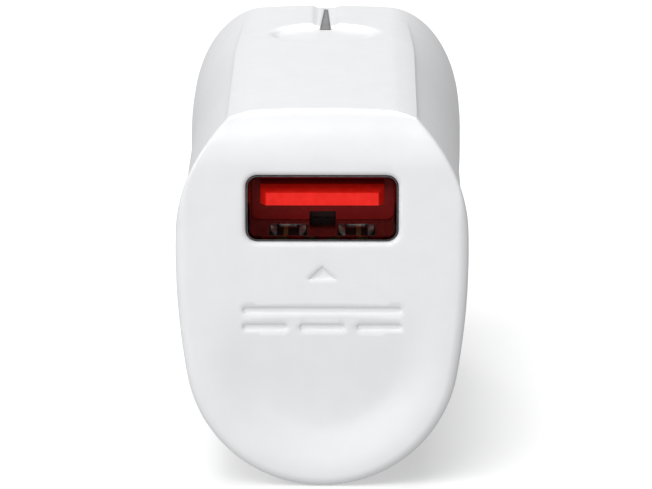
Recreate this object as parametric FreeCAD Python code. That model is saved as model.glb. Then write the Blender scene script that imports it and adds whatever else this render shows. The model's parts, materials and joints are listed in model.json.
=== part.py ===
"""USB wall charger with two round mains pins, built as separate solids.

Frame, in millimetres: the origin is the middle of the plug face, halfway between the two pins.
+Y runs along the pins into the wall socket, -Y towards the USB port, +Z towards the flat top panel.
"""
import FreeCAD, Part
import math
import os
from FreeCAD import Vector

# ---- casing ----------------------------------------------------------------------------------
BODY_LENGTH = 61.0          # plug face to USB face
BODY_HEIGHT = 33.0
HALF_WIDTH = 12.7           # at the widest place of the section
CAP_THICKNESS = 3.0         # the part of the plug cap that shows behind the housing
WALL = 2.0
FRONT_WALL = 2.4
FACE_Y = -BODY_LENGTH
HOUSING_END_Y = -CAP_THICKNESS
TOP_Z = BODY_HEIGHT / 2

# section of the casing: round bottom, gently bowed sides, round shoulders, crowned top panel
WIDEST_Z = 4.4
BOTTOM_RADIUS = 11.9
BOTTOM_CENTRE_Z = BOTTOM_RADIUS - TOP_Z
SIDE_RADIUS = (HALF_WIDTH**2 + (WIDEST_Z - BOTTOM_CENTRE_Z)**2 - BOTTOM_RADIUS**2) / (
    2 * (HALF_WIDTH - BOTTOM_RADIUS))
SHOULDER_START_Z = 6.0
PANEL_HALF_WIDTH = 7.1      # flat part of the top panel
PANEL_EDGE_DROP = 0.23      # crown of the top panel
CREASE = (8.22, 15.82)      # edge of the top panel's bevel, as x and z
STEP_FOOT = (8.38, 15.68)   # foot of the small step under the crease, with no relief
SIDE_RELIEF = 0.34          # how far the hand grips at the sides are sunk at the step
LIP = 1.2                   # full-section band behind the USB face
RELIEF_END_Y = -8.5         # the grips run out between here and RELIEF_RAMP_Y
RELIEF_RAMP_Y = -4.0

BROW_RADIUS = 4.5           # rounding from the top panel down to the USB face
CRISP_ABOVE_Z = 10.1        # the edge of the USB face is sharp above here, rounded below
FACE_ROUND = 0.9

# ---- shallow scoop of the USB face -------------------------------------------------------------
SCOOP_Z = -8.7
SCOOP_RADIUS = 5.9
SCOOP_DEPTH = 0.4

# ---- thumb dish, groove and slot on the top panel ------------------------------------------------
DISH_Y = -18.4
DISH_RADIUS = 5.4
DISH_FLOOR_RADIUS = 3.7
DISH_DEPTH = 0.45
GROOVE_TOP_WIDTH = 2.4
GROOVE_FLOOR_WIDTH = 1.7
GROOVE_DEPTH = 0.22
SLOT_START_Y = -14.8
SLOT_WIDE = 1.0
SLOT_NARROW = 0.3
INSERT_GAP = 0.03           # between the slot and the grey insert that fills it
INSERT_DEPTH = 0.1          # the insert's top below the groove's floor

# ---- USB socket ------------------------------------------------------------------------------
PORT_Z = 8.2
SHEET = 0.3
PORT_WIDTH = 13.1
PORT_HEIGHT = 5.72
PORT_CORNER = 0.95
PORT_FRONT_Y = FACE_Y + 0.35
PORT_FLOOR_LENGTH = 7.85    # from the rim to the back wall
PORT_SHELL_LENGTH = 10.4
PORT_GAP = 0.1              # between the housing and the metal shell
PORT_CHAMFER = 0.45
TONGUE_WIDTH = 10.75
TONGUE_THICKNESS = 1.6
TONGUE_TOP_GAP = 0.84
TONGUE_RECESS = 0.75
TONGUE_CHAMFER = 0.5
SPRING_X = 2.95
SPRING_WINDOW_WIDTH = 3.3
SPRING_WINDOW_FRONT = 1.0   # from the rim
SPRING_WINDOW_LENGTH = 4.9
SPRING_WIDTH = 1.5
SPRING_HEAD_WIDTH = 2.8
SPRING_RISE = 0.55
CONTACT_X = {"power": -3.5, "data_minus": -1.0, "data_plus": 1.0, "ground": 3.5}
CONTACT_WIDTH = 1.0
CONTACT_THICKNESS = 0.2
CONTACT_DROP = 0.25         # how far the bump stands below the tongue
CONTACT_LIFT = 0.3          # how far its free end stands above the bump
CONTACT_GROOVE = 0.8

# ---- mains pins ------------------------------------------------------------------------------
PIN_SPACING = 19.0
PIN_RADIUS = 2.0
PIN_LENGTH = 19.0
PIN_SHANK_RADIUS = 1.5
PIN_TIP_RADIUS = 1.6        # rounding of the pin's end
SLEEVE_RADIUS = 1.8
SLEEVE_LENGTH = 10.0
PIN_TAIL_Y = -6.5
PIN_COLLAR_RADIUS = 2.7

# ---- board -----------------------------------------------------------------------------------
BOARD_TOP_Z = 5.28
BOARD_THICKNESS = 1.2
BOARD_BOTTOM_Z = BOARD_TOP_Z - BOARD_THICKNESS
BOARD_HALF_WIDTH = 9.6
BOARD_FRONT_Y = -58.2
BOARD_REAR_Y = -9.0

CAVITY_BOTTOM_Z = WALL - TOP_Z

PARTS = "parts"


# ---- small helpers -----------------------------------------------------------------------------
def box(x, y, z):
    """A block from three (low, high) pairs."""
    return Part.makeBox(x[1] - x[0], y[1] - y[0], z[1] - z[0], Vector(x[0], y[0], z[0]))


def rod_y(radius, y_low, y_high, x=0.0, z=0.0):
    return Part.makeCylinder(radius, y_high - y_low, Vector(x, y_low, z), Vector(0, 1, 0))


def rod_z(radius, z_low, z_high, x=0.0, y=0.0):
    return Part.makeCylinder(radius, z_high - z_low, Vector(x, y, z_low), Vector(0, 0, 1))


def rod_x(radius, x_low, x_high, y=0.0, z=0.0):
    return Part.makeCylinder(radius, x_high - x_low, Vector(x_low, y, z), Vector(1, 0, 0))


def polygon_prism(points, direction):
    """A prism from corner points, swept along a vector."""
    corners = [Vector(*p) for p in points]
    wire = Part.makePolygon(corners + corners[:1])
    return Part.Face(wire).extrude(Vector(*direction))


def circles(shape):
    """The circular edges of a shape."""
    return [e for e in shape.Edges if e.Curve.TypeId == "Part::GeomCircle"]


def along_y(shape):
    """The edges that run along Y."""
    return [e for e in shape.Edges if abs(e.tangentAt(e.FirstParameter).y) > 0.9]


def fused(shapes):
    whole = shapes[0]
    if len(shapes) > 1:
        whole = whole.fuse(shapes[1:])
    return whole.removeSplitter()


def save(name, shape):
    if not shape.isValid():
        print("not valid:", name)
    shape.exportStep(os.path.join(PARTS, name + ".step"))
    print(f"{name}: {len(shape.Solids)} solid(s), {shape.Volume:.2f} mm3")


# ---- section of the casing ---------------------------------------------------------------------
def arc(y, ends, centre, radius):
    """The shorter arc in the plane at y, between two (x, z) ends."""
    middle = (ends[0][0] + ends[1][0]) / 2 - centre[0], (ends[0][1] + ends[1][1]) / 2 - centre[1]
    size = math.hypot(*middle)
    through = centre[0] + middle[0] * radius / size, centre[1] + middle[1] * radius / size
    points = [Vector(p[0], y, p[1]) for p in (ends[0], through, ends[1])]
    return Part.Arc(*points).toShape()


def mirrored(point):
    return -point[0], point[1]


def side_join(inset):
    """Where the bottom arc runs into the side arc, on the +X side."""
    along = SIDE_RADIUS - BOTTOM_RADIUS
    nx, nz = (SIDE_RADIUS - HALF_WIDTH) / along, (BOTTOM_CENTRE_Z - WIDEST_Z) / along
    reach = BOTTOM_RADIUS - inset
    return nx * reach, BOTTOM_CENTRE_Z + nz * reach


def shoulder_join(inset):
    """Where the side arc runs into the shoulder arc, and the normal there."""
    nz = (SHOULDER_START_Z - WIDEST_Z) / SIDE_RADIUS
    nx = math.sqrt(1 - nz**2)
    reach = SIDE_RADIUS - inset
    return (HALF_WIDTH - SIDE_RADIUS + nx * reach, WIDEST_Z + nz * reach), (nx, nz)


def shoulder_arc(foot):
    """Radius and centre of the shoulder arc: tangent to the side arc, and through foot."""
    join, normal = shoulder_join(0)
    dx, dz = foot[0] - join[0], foot[1] - join[1]
    radius = -(dx**2 + dz**2) / (2 * (normal[0] * dx + normal[1] * dz))
    return radius, (join[0] - radius * normal[0], join[1] - radius * normal[1])


def lower_edges(y, inset):
    """The bottom arc and the two side arcs, from the -X shoulder join to the +X one."""
    low, (join, _) = side_join(inset), shoulder_join(inset)
    centre = (HALF_WIDTH - SIDE_RADIUS, WIDEST_Z)
    bottom = Part.Arc(Vector(-low[0], y, low[1]), Vector(0, y, inset - TOP_Z),
                      Vector(low[0], y, low[1])).toShape()
    left = arc(y, (mirrored(join), mirrored(low)), mirrored(centre), SIDE_RADIUS - inset)
    right = arc(y, (low, join), centre, SIDE_RADIUS - inset)
    return [left, bottom, right]


def outline(y, relief=0.0):
    """The casing's full section at y, with the crowned panel, its bevels and the steps at the grips."""
    foot = (STEP_FOOT[0], STEP_FOOT[1] - relief)
    radius, centre = shoulder_arc(foot)
    join, _ = shoulder_join(0)
    panel = (PANEL_HALF_WIDTH, TOP_Z - PANEL_EDGE_DROP)

    def line(a, b):
        return Part.makeLine(Vector(a[0], y, a[1]), Vector(b[0], y, b[1]))

    edges = lower_edges(y, 0) + [
        arc(y, (join, foot), centre, radius),
        line(foot, CREASE),
        line(CREASE, panel),
        Part.Arc(Vector(panel[0], y, panel[1]), Vector(0, y, TOP_Z), Vector(-panel[0], y, panel[1])).toShape(),
        line(mirrored(panel), mirrored(CREASE)),
        line(mirrored(CREASE), mirrored(foot)),
        arc(y, (mirrored(foot), mirrored(join)), mirrored(centre), radius),
    ]
    return Part.Wire(edges)


def plain_outline(y, inset, top_z):
    """The section moved inwards by inset, with a flat top at top_z."""
    radius, centre = shoulder_arc(STEP_FOOT)
    join, _ = shoulder_join(inset)
    radius -= inset
    corner = (centre[0] + math.sqrt(radius**2 - (top_z - centre[1])**2), top_z)
    edges = lower_edges(y, inset) + [
        arc(y, (join, corner), centre, radius),
        Part.makeLine(Vector(corner[0], y, top_z), Vector(-corner[0], y, top_z)),
        arc(y, (mirrored(corner), mirrored(join)), mirrored(centre), radius),
    ]
    return Part.Wire(edges)


def prism(wire, y_to):
    """Extrudes a section wire along Y as far as y_to."""
    y_from = wire.Vertexes[0].Y
    return Part.Face(wire).extrude(Vector(0, y_to - y_from, 0))


def inner_slice(inset, y, z):
    """The casing's section moved in by inset, between two y and two z values."""
    whole = prism(plain_outline(y[0], inset, TOP_Z - inset), y[1])
    return whole.common(box((-HALF_WIDTH, HALF_WIDTH), y, z))


def loft(*wires):
    return Part.makeLoft(list(wires), True, True)


def side_profile(shrink, y_end):
    """Solid across the whole width, bounded by the USB face, the brow and the top, all moved in by shrink."""
    reach = 2 * BODY_HEIGHT
    front, top, radius = FACE_Y + shrink, TOP_Z - shrink, BROW_RADIUS - shrink
    turn = radius * math.sqrt(0.5)
    low = Vector(-reach, front, -reach)
    brow_low = Vector(-reach, front, top - radius)
    brow_mid = Vector(-reach, front + radius - turn, top - radius + turn)
    brow_high = Vector(-reach, front + radius, top)
    rear_high, rear_low = Vector(-reach, y_end, top), Vector(-reach, y_end, -reach)
    edges = [
        Part.makeLine(low, brow_low),
        Part.Arc(brow_low, brow_mid, brow_high).toShape(),
        Part.makeLine(brow_high, rear_high),
        Part.makeLine(rear_high, rear_low),
        Part.makeLine(rear_low, low),
    ]
    return Part.Face(Part.Wire(edges)).extrude(Vector(2 * reach, 0, 0))


# ---- USB face ----------------------------------------------------------------------------------
def face_scoop():
    """Ball whose cap sinks the lower part of the USB face into a shallow scoop."""
    radius = (SCOOP_RADIUS**2 + SCOOP_DEPTH**2) / (2 * SCOOP_DEPTH)
    return Part.makeSphere(radius, Vector(0, FACE_Y + SCOOP_DEPTH - radius, SCOOP_Z))


def direct_current_mark():
    """Generic direct-current symbol, a bar over three dashes, and a small triangle that points to the port."""
    depth, stroke, length = 0.2, 0.6, 13.8
    upper_z, lower_z = -0.75, -2.25
    dash = 3.9
    front, back = FACE_Y - 1.0, FACE_Y + depth
    marks = [box((-length / 2, length / 2), (front, back), (upper_z - stroke / 2, upper_z + stroke / 2))]
    for k in (-1, 0, 1):
        middle = k * (length - dash) / 2
        marks.append(box((middle - dash / 2, middle + dash / 2), (front, back),
                         (lower_z - stroke / 2, lower_z + stroke / 2)))
    marks = [m.makeFillet(0.28, along_y(m)) for m in marks]
    half_base, base_z, tip_z = 1.2, 2.0, 3.2
    marks.append(polygon_prism([(-half_base, front, base_z), (half_base, front, base_z), (0, front, tip_z)],
                               (0, back - front, 0)))
    return marks


# ---- housing -----------------------------------------------------------------------------------
def rounded_front():
    """The first FACE_ROUND of the casing, rounded all round by stepped sections."""
    steps = 5
    wires = []
    for k in range(steps + 1):
        angle = math.radians(90 * k / steps)
        inset = FACE_ROUND * (1 - math.sin(angle))
        y = FACE_Y + FACE_ROUND * (1 - math.cos(angle))
        wires.append(plain_outline(y, inset, CRISP_ABOVE_Z + 2.0))
    return loft(*wires)


def outer_body():
    lip_y = FACE_Y + LIP
    whole = [
        rounded_front(),
        prism(outline(FACE_Y + FACE_ROUND), lip_y),
        prism(outline(lip_y, SIDE_RELIEF), RELIEF_END_Y),
        loft(outline(RELIEF_END_Y, SIDE_RELIEF), outline(RELIEF_RAMP_Y)),
        prism(outline(RELIEF_RAMP_Y), HOUSING_END_Y),
    ]
    crisp = prism(outline(FACE_Y), FACE_Y + FACE_ROUND).common(
        box((-20, 20), (FACE_Y - 1, lip_y), (CRISP_ABOVE_Z, 20)))
    body = whole[0].fuse(whole[1:] + [crisp])
    return body.common(side_profile(0.0, 1.0)).removeSplitter()


def cavity():
    inner_top = TOP_Z - WALL
    hollow = prism(plain_outline(FACE_Y + FRONT_WALL, WALL, inner_top), 1.0)
    return hollow.common(side_profile(FRONT_WALL - 0.4, 1.0))


def port_opening(grow, y_low, y_high):
    """Rounded rectangle prism, the socket's outer size plus grow on each side."""
    half_w, half_h = PORT_WIDTH / 2 + grow, PORT_HEIGHT / 2 + grow
    block = box((-half_w, half_w), (y_low, y_high), (PORT_Z - half_h, PORT_Z + half_h))
    return block.makeFillet(PORT_CORNER + grow, along_y(block))


def spring_relief():
    """Pocket behind the front wall's outer skin, where the tips of the port's springs dip."""
    half, floor = SPRING_X + SPRING_WINDOW_WIDTH / 2, PORT_Z - PORT_HEIGHT / 2
    return box((-half, half), (FACE_Y + 1.3, FACE_Y + FRONT_WALL + 1), (floor - 1.2, floor + 0.5))


def port_chamfer():
    """The bevel round the port's opening in the USB face."""
    wires = []
    for grow, y in ((PORT_GAP, FACE_Y + PORT_CHAMFER), (PORT_GAP + PORT_CHAMFER + 0.2, FACE_Y - 0.2)):
        ring = port_opening(grow, y, y + 1)
        face = min(ring.Faces, key=lambda f: f.CenterOfMass.y)
        wires.append(face.OuterWire)
    return loft(*wires)


def thumb_dish():
    """A round dish with a flat floor, whose wall is two tangent arcs."""
    mid = (DISH_FLOOR_RADIUS + DISH_RADIUS) / 2
    quarter = (DISH_RADIUS - DISH_FLOOR_RADIUS) / 4
    floor_z, rim_z = TOP_Z - DISH_DEPTH, TOP_Z

    def at(radius, z):
        return Vector(radius, DISH_Y, z)

    edges = [
        Part.makeLine(at(0, floor_z), at(DISH_FLOOR_RADIUS, floor_z)),
        Part.Arc(at(DISH_FLOOR_RADIUS, floor_z), at(mid - quarter, floor_z + DISH_DEPTH / 8),
                 at(mid, floor_z + DISH_DEPTH / 2)).toShape(),
        Part.Arc(at(mid, floor_z + DISH_DEPTH / 2), at(mid + quarter, rim_z - DISH_DEPTH / 8),
                 at(DISH_RADIUS, rim_z)).toShape(),
        Part.makeLine(at(DISH_RADIUS, rim_z), at(DISH_RADIUS, rim_z + 1)),
        Part.makeLine(at(DISH_RADIUS, rim_z + 1), at(0, rim_z + 1)),
        Part.makeLine(at(0, rim_z + 1), at(0, floor_z)),
    ]
    face = Part.Face(Part.Wire(edges))
    return face.revolve(Vector(0, DISH_Y, 0), Vector(0, 0, 1), 360)


def plug_end_groove():
    """Shallow groove from the dish to the plug end."""
    start, end, top = DISH_Y + DISH_FLOOR_RADIUS, HOUSING_END_Y + 1, TOP_Z + 1
    slope = (GROOVE_TOP_WIDTH - GROOVE_FLOOR_WIDTH) / 2 / GROOVE_DEPTH
    half_floor = GROOVE_FLOOR_WIDTH / 2
    half_top = half_floor + slope * (GROOVE_DEPTH + 1)
    floor = TOP_Z - GROOVE_DEPTH
    corners = [(-half_floor, start, floor), (half_floor, start, floor), (half_top, start, top), (-half_top, start, top)]
    return polygon_prism(corners, (0, end - start, 0))


def tapered_slot():
    """Slot through the top wall, narrow at the plug end, where the grey insert shows."""
    end = HOUSING_END_Y + 1
    z = TOP_Z - WALL - 0.5
    wide, narrow = SLOT_WIDE / 2, SLOT_NARROW / 2
    corners = [(-wide, SLOT_START_Y, z), (wide, SLOT_START_Y, z), (narrow, end, z), (-narrow, end, z)]
    return polygon_prism(corners, (0, 0, WALL + 2))


def slot_insert():
    """Wedge that stands on the plug cap's key and fills the tapered slot."""
    start, end = SLOT_START_Y + INSERT_GAP, HOUSING_END_Y - INSERT_GAP
    low, high = TOP_Z - WALL - SKIRT_GAP, TOP_Z - GROOVE_DEPTH - INSERT_DEPTH
    share = (end - SLOT_START_Y) / (HOUSING_END_Y + 1 - SLOT_START_Y)
    wide = SLOT_WIDE / 2 - INSERT_GAP
    narrow = SLOT_WIDE / 2 + (SLOT_NARROW - SLOT_WIDE) / 2 * share - INSERT_GAP
    corners = [(-wide, start, low), (wide, start, low), (narrow, end, low), (-narrow, end, low)]
    return polygon_prism(corners, (0, 0, high - low))


def board_rails():
    """Ribs inside the side walls that hold the board's edges."""
    rails = []
    rail, gap = 0.9, 0.1
    for side in (-1, 1):
        reach = sorted((side * (BOARD_HALF_WIDTH - 0.9), side * (HALF_WIDTH - WALL + 0.2)))
        for low in (BOARD_BOTTOM_Z - gap - rail, BOARD_TOP_Z + gap):
            rails.append(box(reach, (FACE_Y + FRONT_WALL - 0.2, -18.0), (low, low + rail)))
    return rails


def housing():
    shell = outer_body().cut([face_scoop(), cavity(), spring_relief(), port_chamfer(),
                              port_opening(PORT_GAP, FACE_Y - 1, FACE_Y + FRONT_WALL + 1)])
    shell = shell.fuse(board_rails())
    shell = shell.cut([thumb_dish(), plug_end_groove(), tapered_slot()] + direct_current_mark())
    return shell.removeSplitter()


# ---- plug end ----------------------------------------------------------------------------------
CAP_INSET = 0.15            # the cap is a little smaller than the housing, so the seam is a fine step
CAP_ROUND = 2.6
SKIRT_GAP = 0.06
SKIRT_WALL = 1.3
SKIRT_LENGTH = 5.0
KEY_HALF_WIDTH = 2.6
KEY_THICKNESS = 1.0


def pin_positions():
    return {"line": PIN_SPACING / 2, "neutral": -PIN_SPACING / 2}


def cap_flange():
    """Rounded end plate, built from stepped sections."""
    steps = 6
    wires = []
    top = TOP_Z - PANEL_EDGE_DROP - 0.25
    for k in range(steps + 1):
        angle = math.radians(90 * k / steps)
        shrink = CAP_ROUND * (1 - math.cos(angle))
        y = -CAP_ROUND + CAP_ROUND * math.sin(angle)
        wires.append(plain_outline(y, CAP_INSET + shrink, top - shrink))
    base = prism(plain_outline(HOUSING_END_Y, CAP_INSET, top), -CAP_ROUND)
    return base.fuse(loft(*wires)).removeSplitter()


def cap_skirt():
    """Wall of the cap that slides into the housing."""
    inset = WALL + SKIRT_GAP
    start, top = HOUSING_END_Y - SKIRT_LENGTH, TOP_Z - WALL - SKIRT_GAP
    outside = prism(plain_outline(start, inset, top), HOUSING_END_Y)
    inside = prism(plain_outline(start - 1, inset + SKIRT_WALL, top - SKIRT_WALL), HOUSING_END_Y)
    return outside.cut(inside)


def cap_key():
    """Key under the top wall that closes the tapered slot from below."""
    top = TOP_Z - WALL - SKIRT_GAP
    return box((-KEY_HALF_WIDTH, KEY_HALF_WIDTH), (SLOT_START_Y - 1.2, HOUSING_END_Y), (top - KEY_THICKNESS, top))


def plug_cap():
    bosses = [rod_y(3.6, HOUSING_END_Y - 1.0, HOUSING_END_Y, z=z) for z in pin_positions().values()]
    cap = fused([cap_flange(), cap_skirt(), cap_key()] + bosses)
    holes = [rod_y(PIN_SHANK_RADIUS, HOUSING_END_Y - 2, 1, z=z) for z in pin_positions().values()]
    return cap.cut(holes)


def pin(z):
    """Turned brass pin: tail and collar inside, thin shank through the cap and the sleeve, bare tip."""
    collar_y = HOUSING_END_Y - 1.0
    turn = PIN_TIP_RADIUS * (1 - math.sqrt(0.5))

    def at(radius, y):
        return Vector(radius, y, z)

    corners = [at(0, PIN_TAIL_Y), at(PIN_SHANK_RADIUS, PIN_TAIL_Y), at(PIN_SHANK_RADIUS, collar_y - 0.9),
               at(PIN_COLLAR_RADIUS, collar_y - 0.9), at(PIN_COLLAR_RADIUS, collar_y),
               at(PIN_SHANK_RADIUS, collar_y), at(PIN_SHANK_RADIUS, SLEEVE_LENGTH),
               at(PIN_RADIUS, SLEEVE_LENGTH), at(PIN_RADIUS, PIN_LENGTH - PIN_TIP_RADIUS)]
    edges = [Part.makeLine(a, b) for a, b in zip(corners, corners[1:])]
    tip = at(PIN_RADIUS - PIN_TIP_RADIUS, PIN_LENGTH)
    edges.append(Part.Arc(corners[-1], at(PIN_RADIUS - turn, PIN_LENGTH - turn), tip).toShape())
    edges.append(Part.makeLine(tip, at(0, PIN_LENGTH)))
    edges.append(Part.makeLine(at(0, PIN_LENGTH), corners[0]))
    return Part.Face(Part.Wire(edges)).revolve(Vector(0, 0, z), Vector(0, 1, 0), 360)


def sleeve(z):
    tube = rod_y(SLEEVE_RADIUS, 0.0, SLEEVE_LENGTH, z=z)
    return tube.cut(rod_y(PIN_SHANK_RADIUS, -1.0, SLEEVE_LENGTH + 1, z=z))


# ---- USB socket --------------------------------------------------------------------------------
PORT_TOP_Z = PORT_Z + PORT_HEIGHT / 2 - SHEET     # inside faces of the metal shell
PORT_FLOOR_Z = PORT_Z - PORT_HEIGHT / 2 + SHEET
TONGUE_TOP_Z = PORT_TOP_Z - TONGUE_TOP_GAP
TONGUE_BOTTOM_Z = TONGUE_TOP_Z - TONGUE_THICKNESS
TONGUE_FRONT_Y = PORT_FRONT_Y + TONGUE_RECESS
PORT_BACK_Y = PORT_FRONT_Y + PORT_FLOOR_LENGTH
PORT_REAR_Y = PORT_FRONT_Y + PORT_SHELL_LENGTH
SPRING_FRONT_Y = PORT_FRONT_Y + SPRING_WINDOW_FRONT
SPRING_REAR_Y = SPRING_FRONT_Y + SPRING_WINDOW_LENGTH
CONTACT_ROOT_Y = PORT_BACK_Y - 0.6
CONTACT_TIP_Y = TONGUE_FRONT_Y + 0.9
PLAY = 0.08                 # between a spring that moves and what it moves in


def port_shell():
    """Folded metal shell with a lead-in at the rim, two spring windows and four board legs."""
    outer = port_opening(0.0, PORT_FRONT_Y, PORT_REAR_Y)
    inner = port_opening(-SHEET, PORT_FRONT_Y - 1, PORT_REAR_Y + 1)
    shell = outer.cut(inner)
    rims = []
    for grow, y in ((-SHEET, PORT_FRONT_Y + 0.5), (-SHEET * 0.35, PORT_FRONT_Y - 0.001)):
        ring = port_opening(grow, y, y + 1)
        rims.append(min(ring.Faces, key=lambda f: f.CenterOfMass.y).OuterWire)
    shell = shell.cut(loft(*rims))
    half = SPRING_WINDOW_WIDTH / 2
    low = PORT_Z - PORT_HEIGHT / 2
    for x in (-SPRING_X, SPRING_X):
        shell = shell.cut(box((x - half, x + half), (SPRING_FRONT_Y, SPRING_REAR_Y), (low - 1, low + SHEET + 0.1)))
    legs = []
    for side in (-1, 1):
        wall = sorted((side * (PORT_WIDTH / 2 - SHEET), side * PORT_WIDTH / 2))
        for y in (PORT_FRONT_Y + 4.2, PORT_REAR_Y - 2.0):
            legs.append(box(wall, (y, y + 1.4), (BOARD_BOTTOM_Z - 0.5, low + PORT_CORNER + 0.4)))
    return shell.fuse(legs).removeSplitter()


def port_tongue():
    """Moulded insulator: back block, and the tongue with four grooves for the contacts."""
    half = TONGUE_WIDTH / 2
    cut = TONGUE_CHAMFER
    tongue = box((-half, half), (TONGUE_FRONT_Y, PORT_BACK_Y + 0.1), (TONGUE_BOTTOM_Z, TONGUE_TOP_Z))
    front = TONGUE_FRONT_Y - 1
    top = polygon_prism([(-half - 1, TONGUE_FRONT_Y - 0.01, TONGUE_TOP_Z - cut), (-half - 1, front, TONGUE_TOP_Z + 1),
                         (-half - 1, TONGUE_FRONT_Y + 3 * cut, TONGUE_TOP_Z + 0.01)], (2 * half + 2, 0, 0))
    tongue = tongue.cut(top)
    for side in (-1, 1):
        edge = side * half
        tongue = tongue.cut(polygon_prism(
            [(edge - side * cut, TONGUE_FRONT_Y - 0.01, TONGUE_BOTTOM_Z - 1), (edge + side, front, TONGUE_BOTTOM_Z - 1),
             (edge + side * 0.01, TONGUE_FRONT_Y + 2 * cut, TONGUE_BOTTOM_Z - 1)], (0, 0, TONGUE_THICKNESS + 2)))
    block = port_opening(-SHEET - 0.02, PORT_BACK_Y, PORT_REAR_Y - 0.2)
    body = tongue.fuse(block)
    for x in CONTACT_X.values():
        wide = CONTACT_WIDTH / 2 + PLAY
        body = body.cut(box((x - wide, x + wide), (CONTACT_TIP_Y - 0.4, PORT_BACK_Y),
                            (TONGUE_BOTTOM_Z - 1, TONGUE_BOTTOM_Z + CONTACT_GROOVE)))
        body = body.cut(tail_path(x, PLAY / 4))
    notch = 1.15
    body = body.cut(box((-notch, notch), (PORT_BACK_Y - 1, PORT_BACK_Y + 1.2), (PORT_FLOOR_Z - 1, PORT_FLOOR_Z + 0.75)))
    return body.removeSplitter()


def contact_top_z():
    return TONGUE_BOTTOM_Z + CONTACT_THICKNESS + 0.1


def tail_path(x, grow):
    """Strip that carries one contact through the insulator and down to the board."""
    half = CONTACT_WIDTH / 2 * 0.7 + grow
    top = contact_top_z() + grow
    low = contact_top_z() - CONTACT_THICKNESS - grow
    rear = PORT_REAR_Y + 0.35
    level = box((x - half, x + half), (PORT_BACK_Y - 0.45 - grow, rear + CONTACT_THICKNESS), (low, top))
    down = box((x - half, x + half), (rear, rear + CONTACT_THICKNESS), (BOARD_BOTTOM_Z - 0.7, top))
    return level.fuse(down)


def contact(x):
    """Spring beam of one contact, with a bent bump near its free end."""
    half = CONTACT_WIDTH / 2
    top = contact_top_z()
    bump = TONGUE_BOTTOM_Z - CONTACT_DROP
    t = CONTACT_THICKNESS
    bump_y = CONTACT_TIP_Y + 1.1
    upper = [(CONTACT_ROOT_Y, top), (CONTACT_ROOT_Y - 1.0, top), (bump_y + 0.5, bump + t),
             (bump_y - 0.3, bump + t), (CONTACT_TIP_Y, bump + t + CONTACT_LIFT)]
    lower = [(CONTACT_TIP_Y, bump + CONTACT_LIFT), (bump_y - 0.4, bump), (bump_y + 0.6, bump),
             (CONTACT_ROOT_Y - 1.0, top - t), (CONTACT_ROOT_Y, top - t)]
    return polygon_prism([(x - half, y, z) for y, z in upper + lower], (CONTACT_WIDTH, 0, 0))


def port_spring(x):
    """Spring finger of the metal shell: rooted at the rear of its window, crest near the front, wide head."""
    half, head = SPRING_WIDTH / 2, SPRING_HEAD_WIDTH / 2
    low, t = PORT_FLOOR_Z - SHEET, SHEET * 0.8
    root, tip = SPRING_REAR_Y - PLAY, SPRING_FRONT_Y + 0.45
    crest = tip + 1.5
    top = low + t
    upper = [(root, top), (root - 0.6, top), (crest + 0.35, top + SPRING_RISE), (crest - 0.35, top + SPRING_RISE),
             (tip, top + 0.1)]
    lower = [(tip, low + 0.1), (crest - 0.4, low + SPRING_RISE), (crest + 0.4, low + SPRING_RISE),
             (root - 0.7, low), (root, low)]
    finger = polygon_prism([(x - head, y, z) for y, z in upper + lower], (SPRING_HEAD_WIDTH, 0, 0))
    trims = []
    for side in (-1, 1):
        a, b = x + side * half, x + side * (head + 1)
        trims.append(polygon_prism(
            [(a, root + 1, low - 1), (b, root + 1, low - 1), (b, crest + 0.5, low - 1),
             (x + side * head, crest + 0.5, low - 1), (a, crest + 1.3, low - 1)], (0, 0, 4)))
    return finger.cut(trims)


# ---- electronics -------------------------------------------------------------------------------
def lead_places():
    """(x, y, radius) of every round lead that passes through the board."""
    places = [(x, y, 0.25) for x, y in transformer_pin_places()]
    for x in (-CAPACITOR_X, CAPACITOR_X):
        for y in (INPUT_CAPACITOR_Y, OUTPUT_CAPACITOR_Y):
            places += [(x, y + dy, 0.3) for dy in (-CAPACITOR_PITCH / 2, CAPACITOR_PITCH / 2)]
    places += [(x, FUSE_Y, 0.3) for x in (-FUSE_PITCH / 2, FUSE_PITCH / 2)]
    places += [(SAFETY_X + dx, SAFETY_Y, 0.3) for dx in (-SAFETY_PITCH / 2, SAFETY_PITCH / 2)]
    return places


def board():
    plate = box((-BOARD_HALF_WIDTH, BOARD_HALF_WIDTH), (BOARD_FRONT_Y, BOARD_REAR_Y), (BOARD_BOTTOM_Z, BOARD_TOP_Z))
    holes = [box((-2.6, 2.6), (BOARD_REAR_Y - 1.6, BOARD_REAR_Y + 1), (BOARD_BOTTOM_Z - 1, BOARD_TOP_Z + 1))]
    for x in CONTACT_X.values():
        holes.append(box((x - 0.4, x + 0.4), (PORT_REAR_Y + 0.3, PORT_REAR_Y + 0.6),
                         (BOARD_BOTTOM_Z - 1, BOARD_TOP_Z + 1)))
    for side in (-1, 1):
        leg = sorted((side * (PORT_WIDTH / 2 - SHEET - 0.05), side * (PORT_WIDTH / 2 + 0.05)))
        for y in (PORT_FRONT_Y + 4.15, PORT_REAR_Y - 2.05):
            holes.append(box(leg, (y, y + 1.5), (BOARD_BOTTOM_Z - 1, BOARD_TOP_Z + 1)))
    # the springs can dip below the shell's floor, so the board is relieved under them
    holes.append(box((-SPRING_X - 1.8, SPRING_X + 1.8), (BOARD_FRONT_Y - 1, SPRING_REAR_Y),
                     (BOARD_BOTTOM_Z - 1, BOARD_TOP_Z + 1)))
    holes += [rod_z(radius + 0.05, BOARD_BOTTOM_Z - 1, BOARD_TOP_Z + 1, x, y) for x, y, radius in lead_places()]
    return plate.cut(holes)


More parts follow.
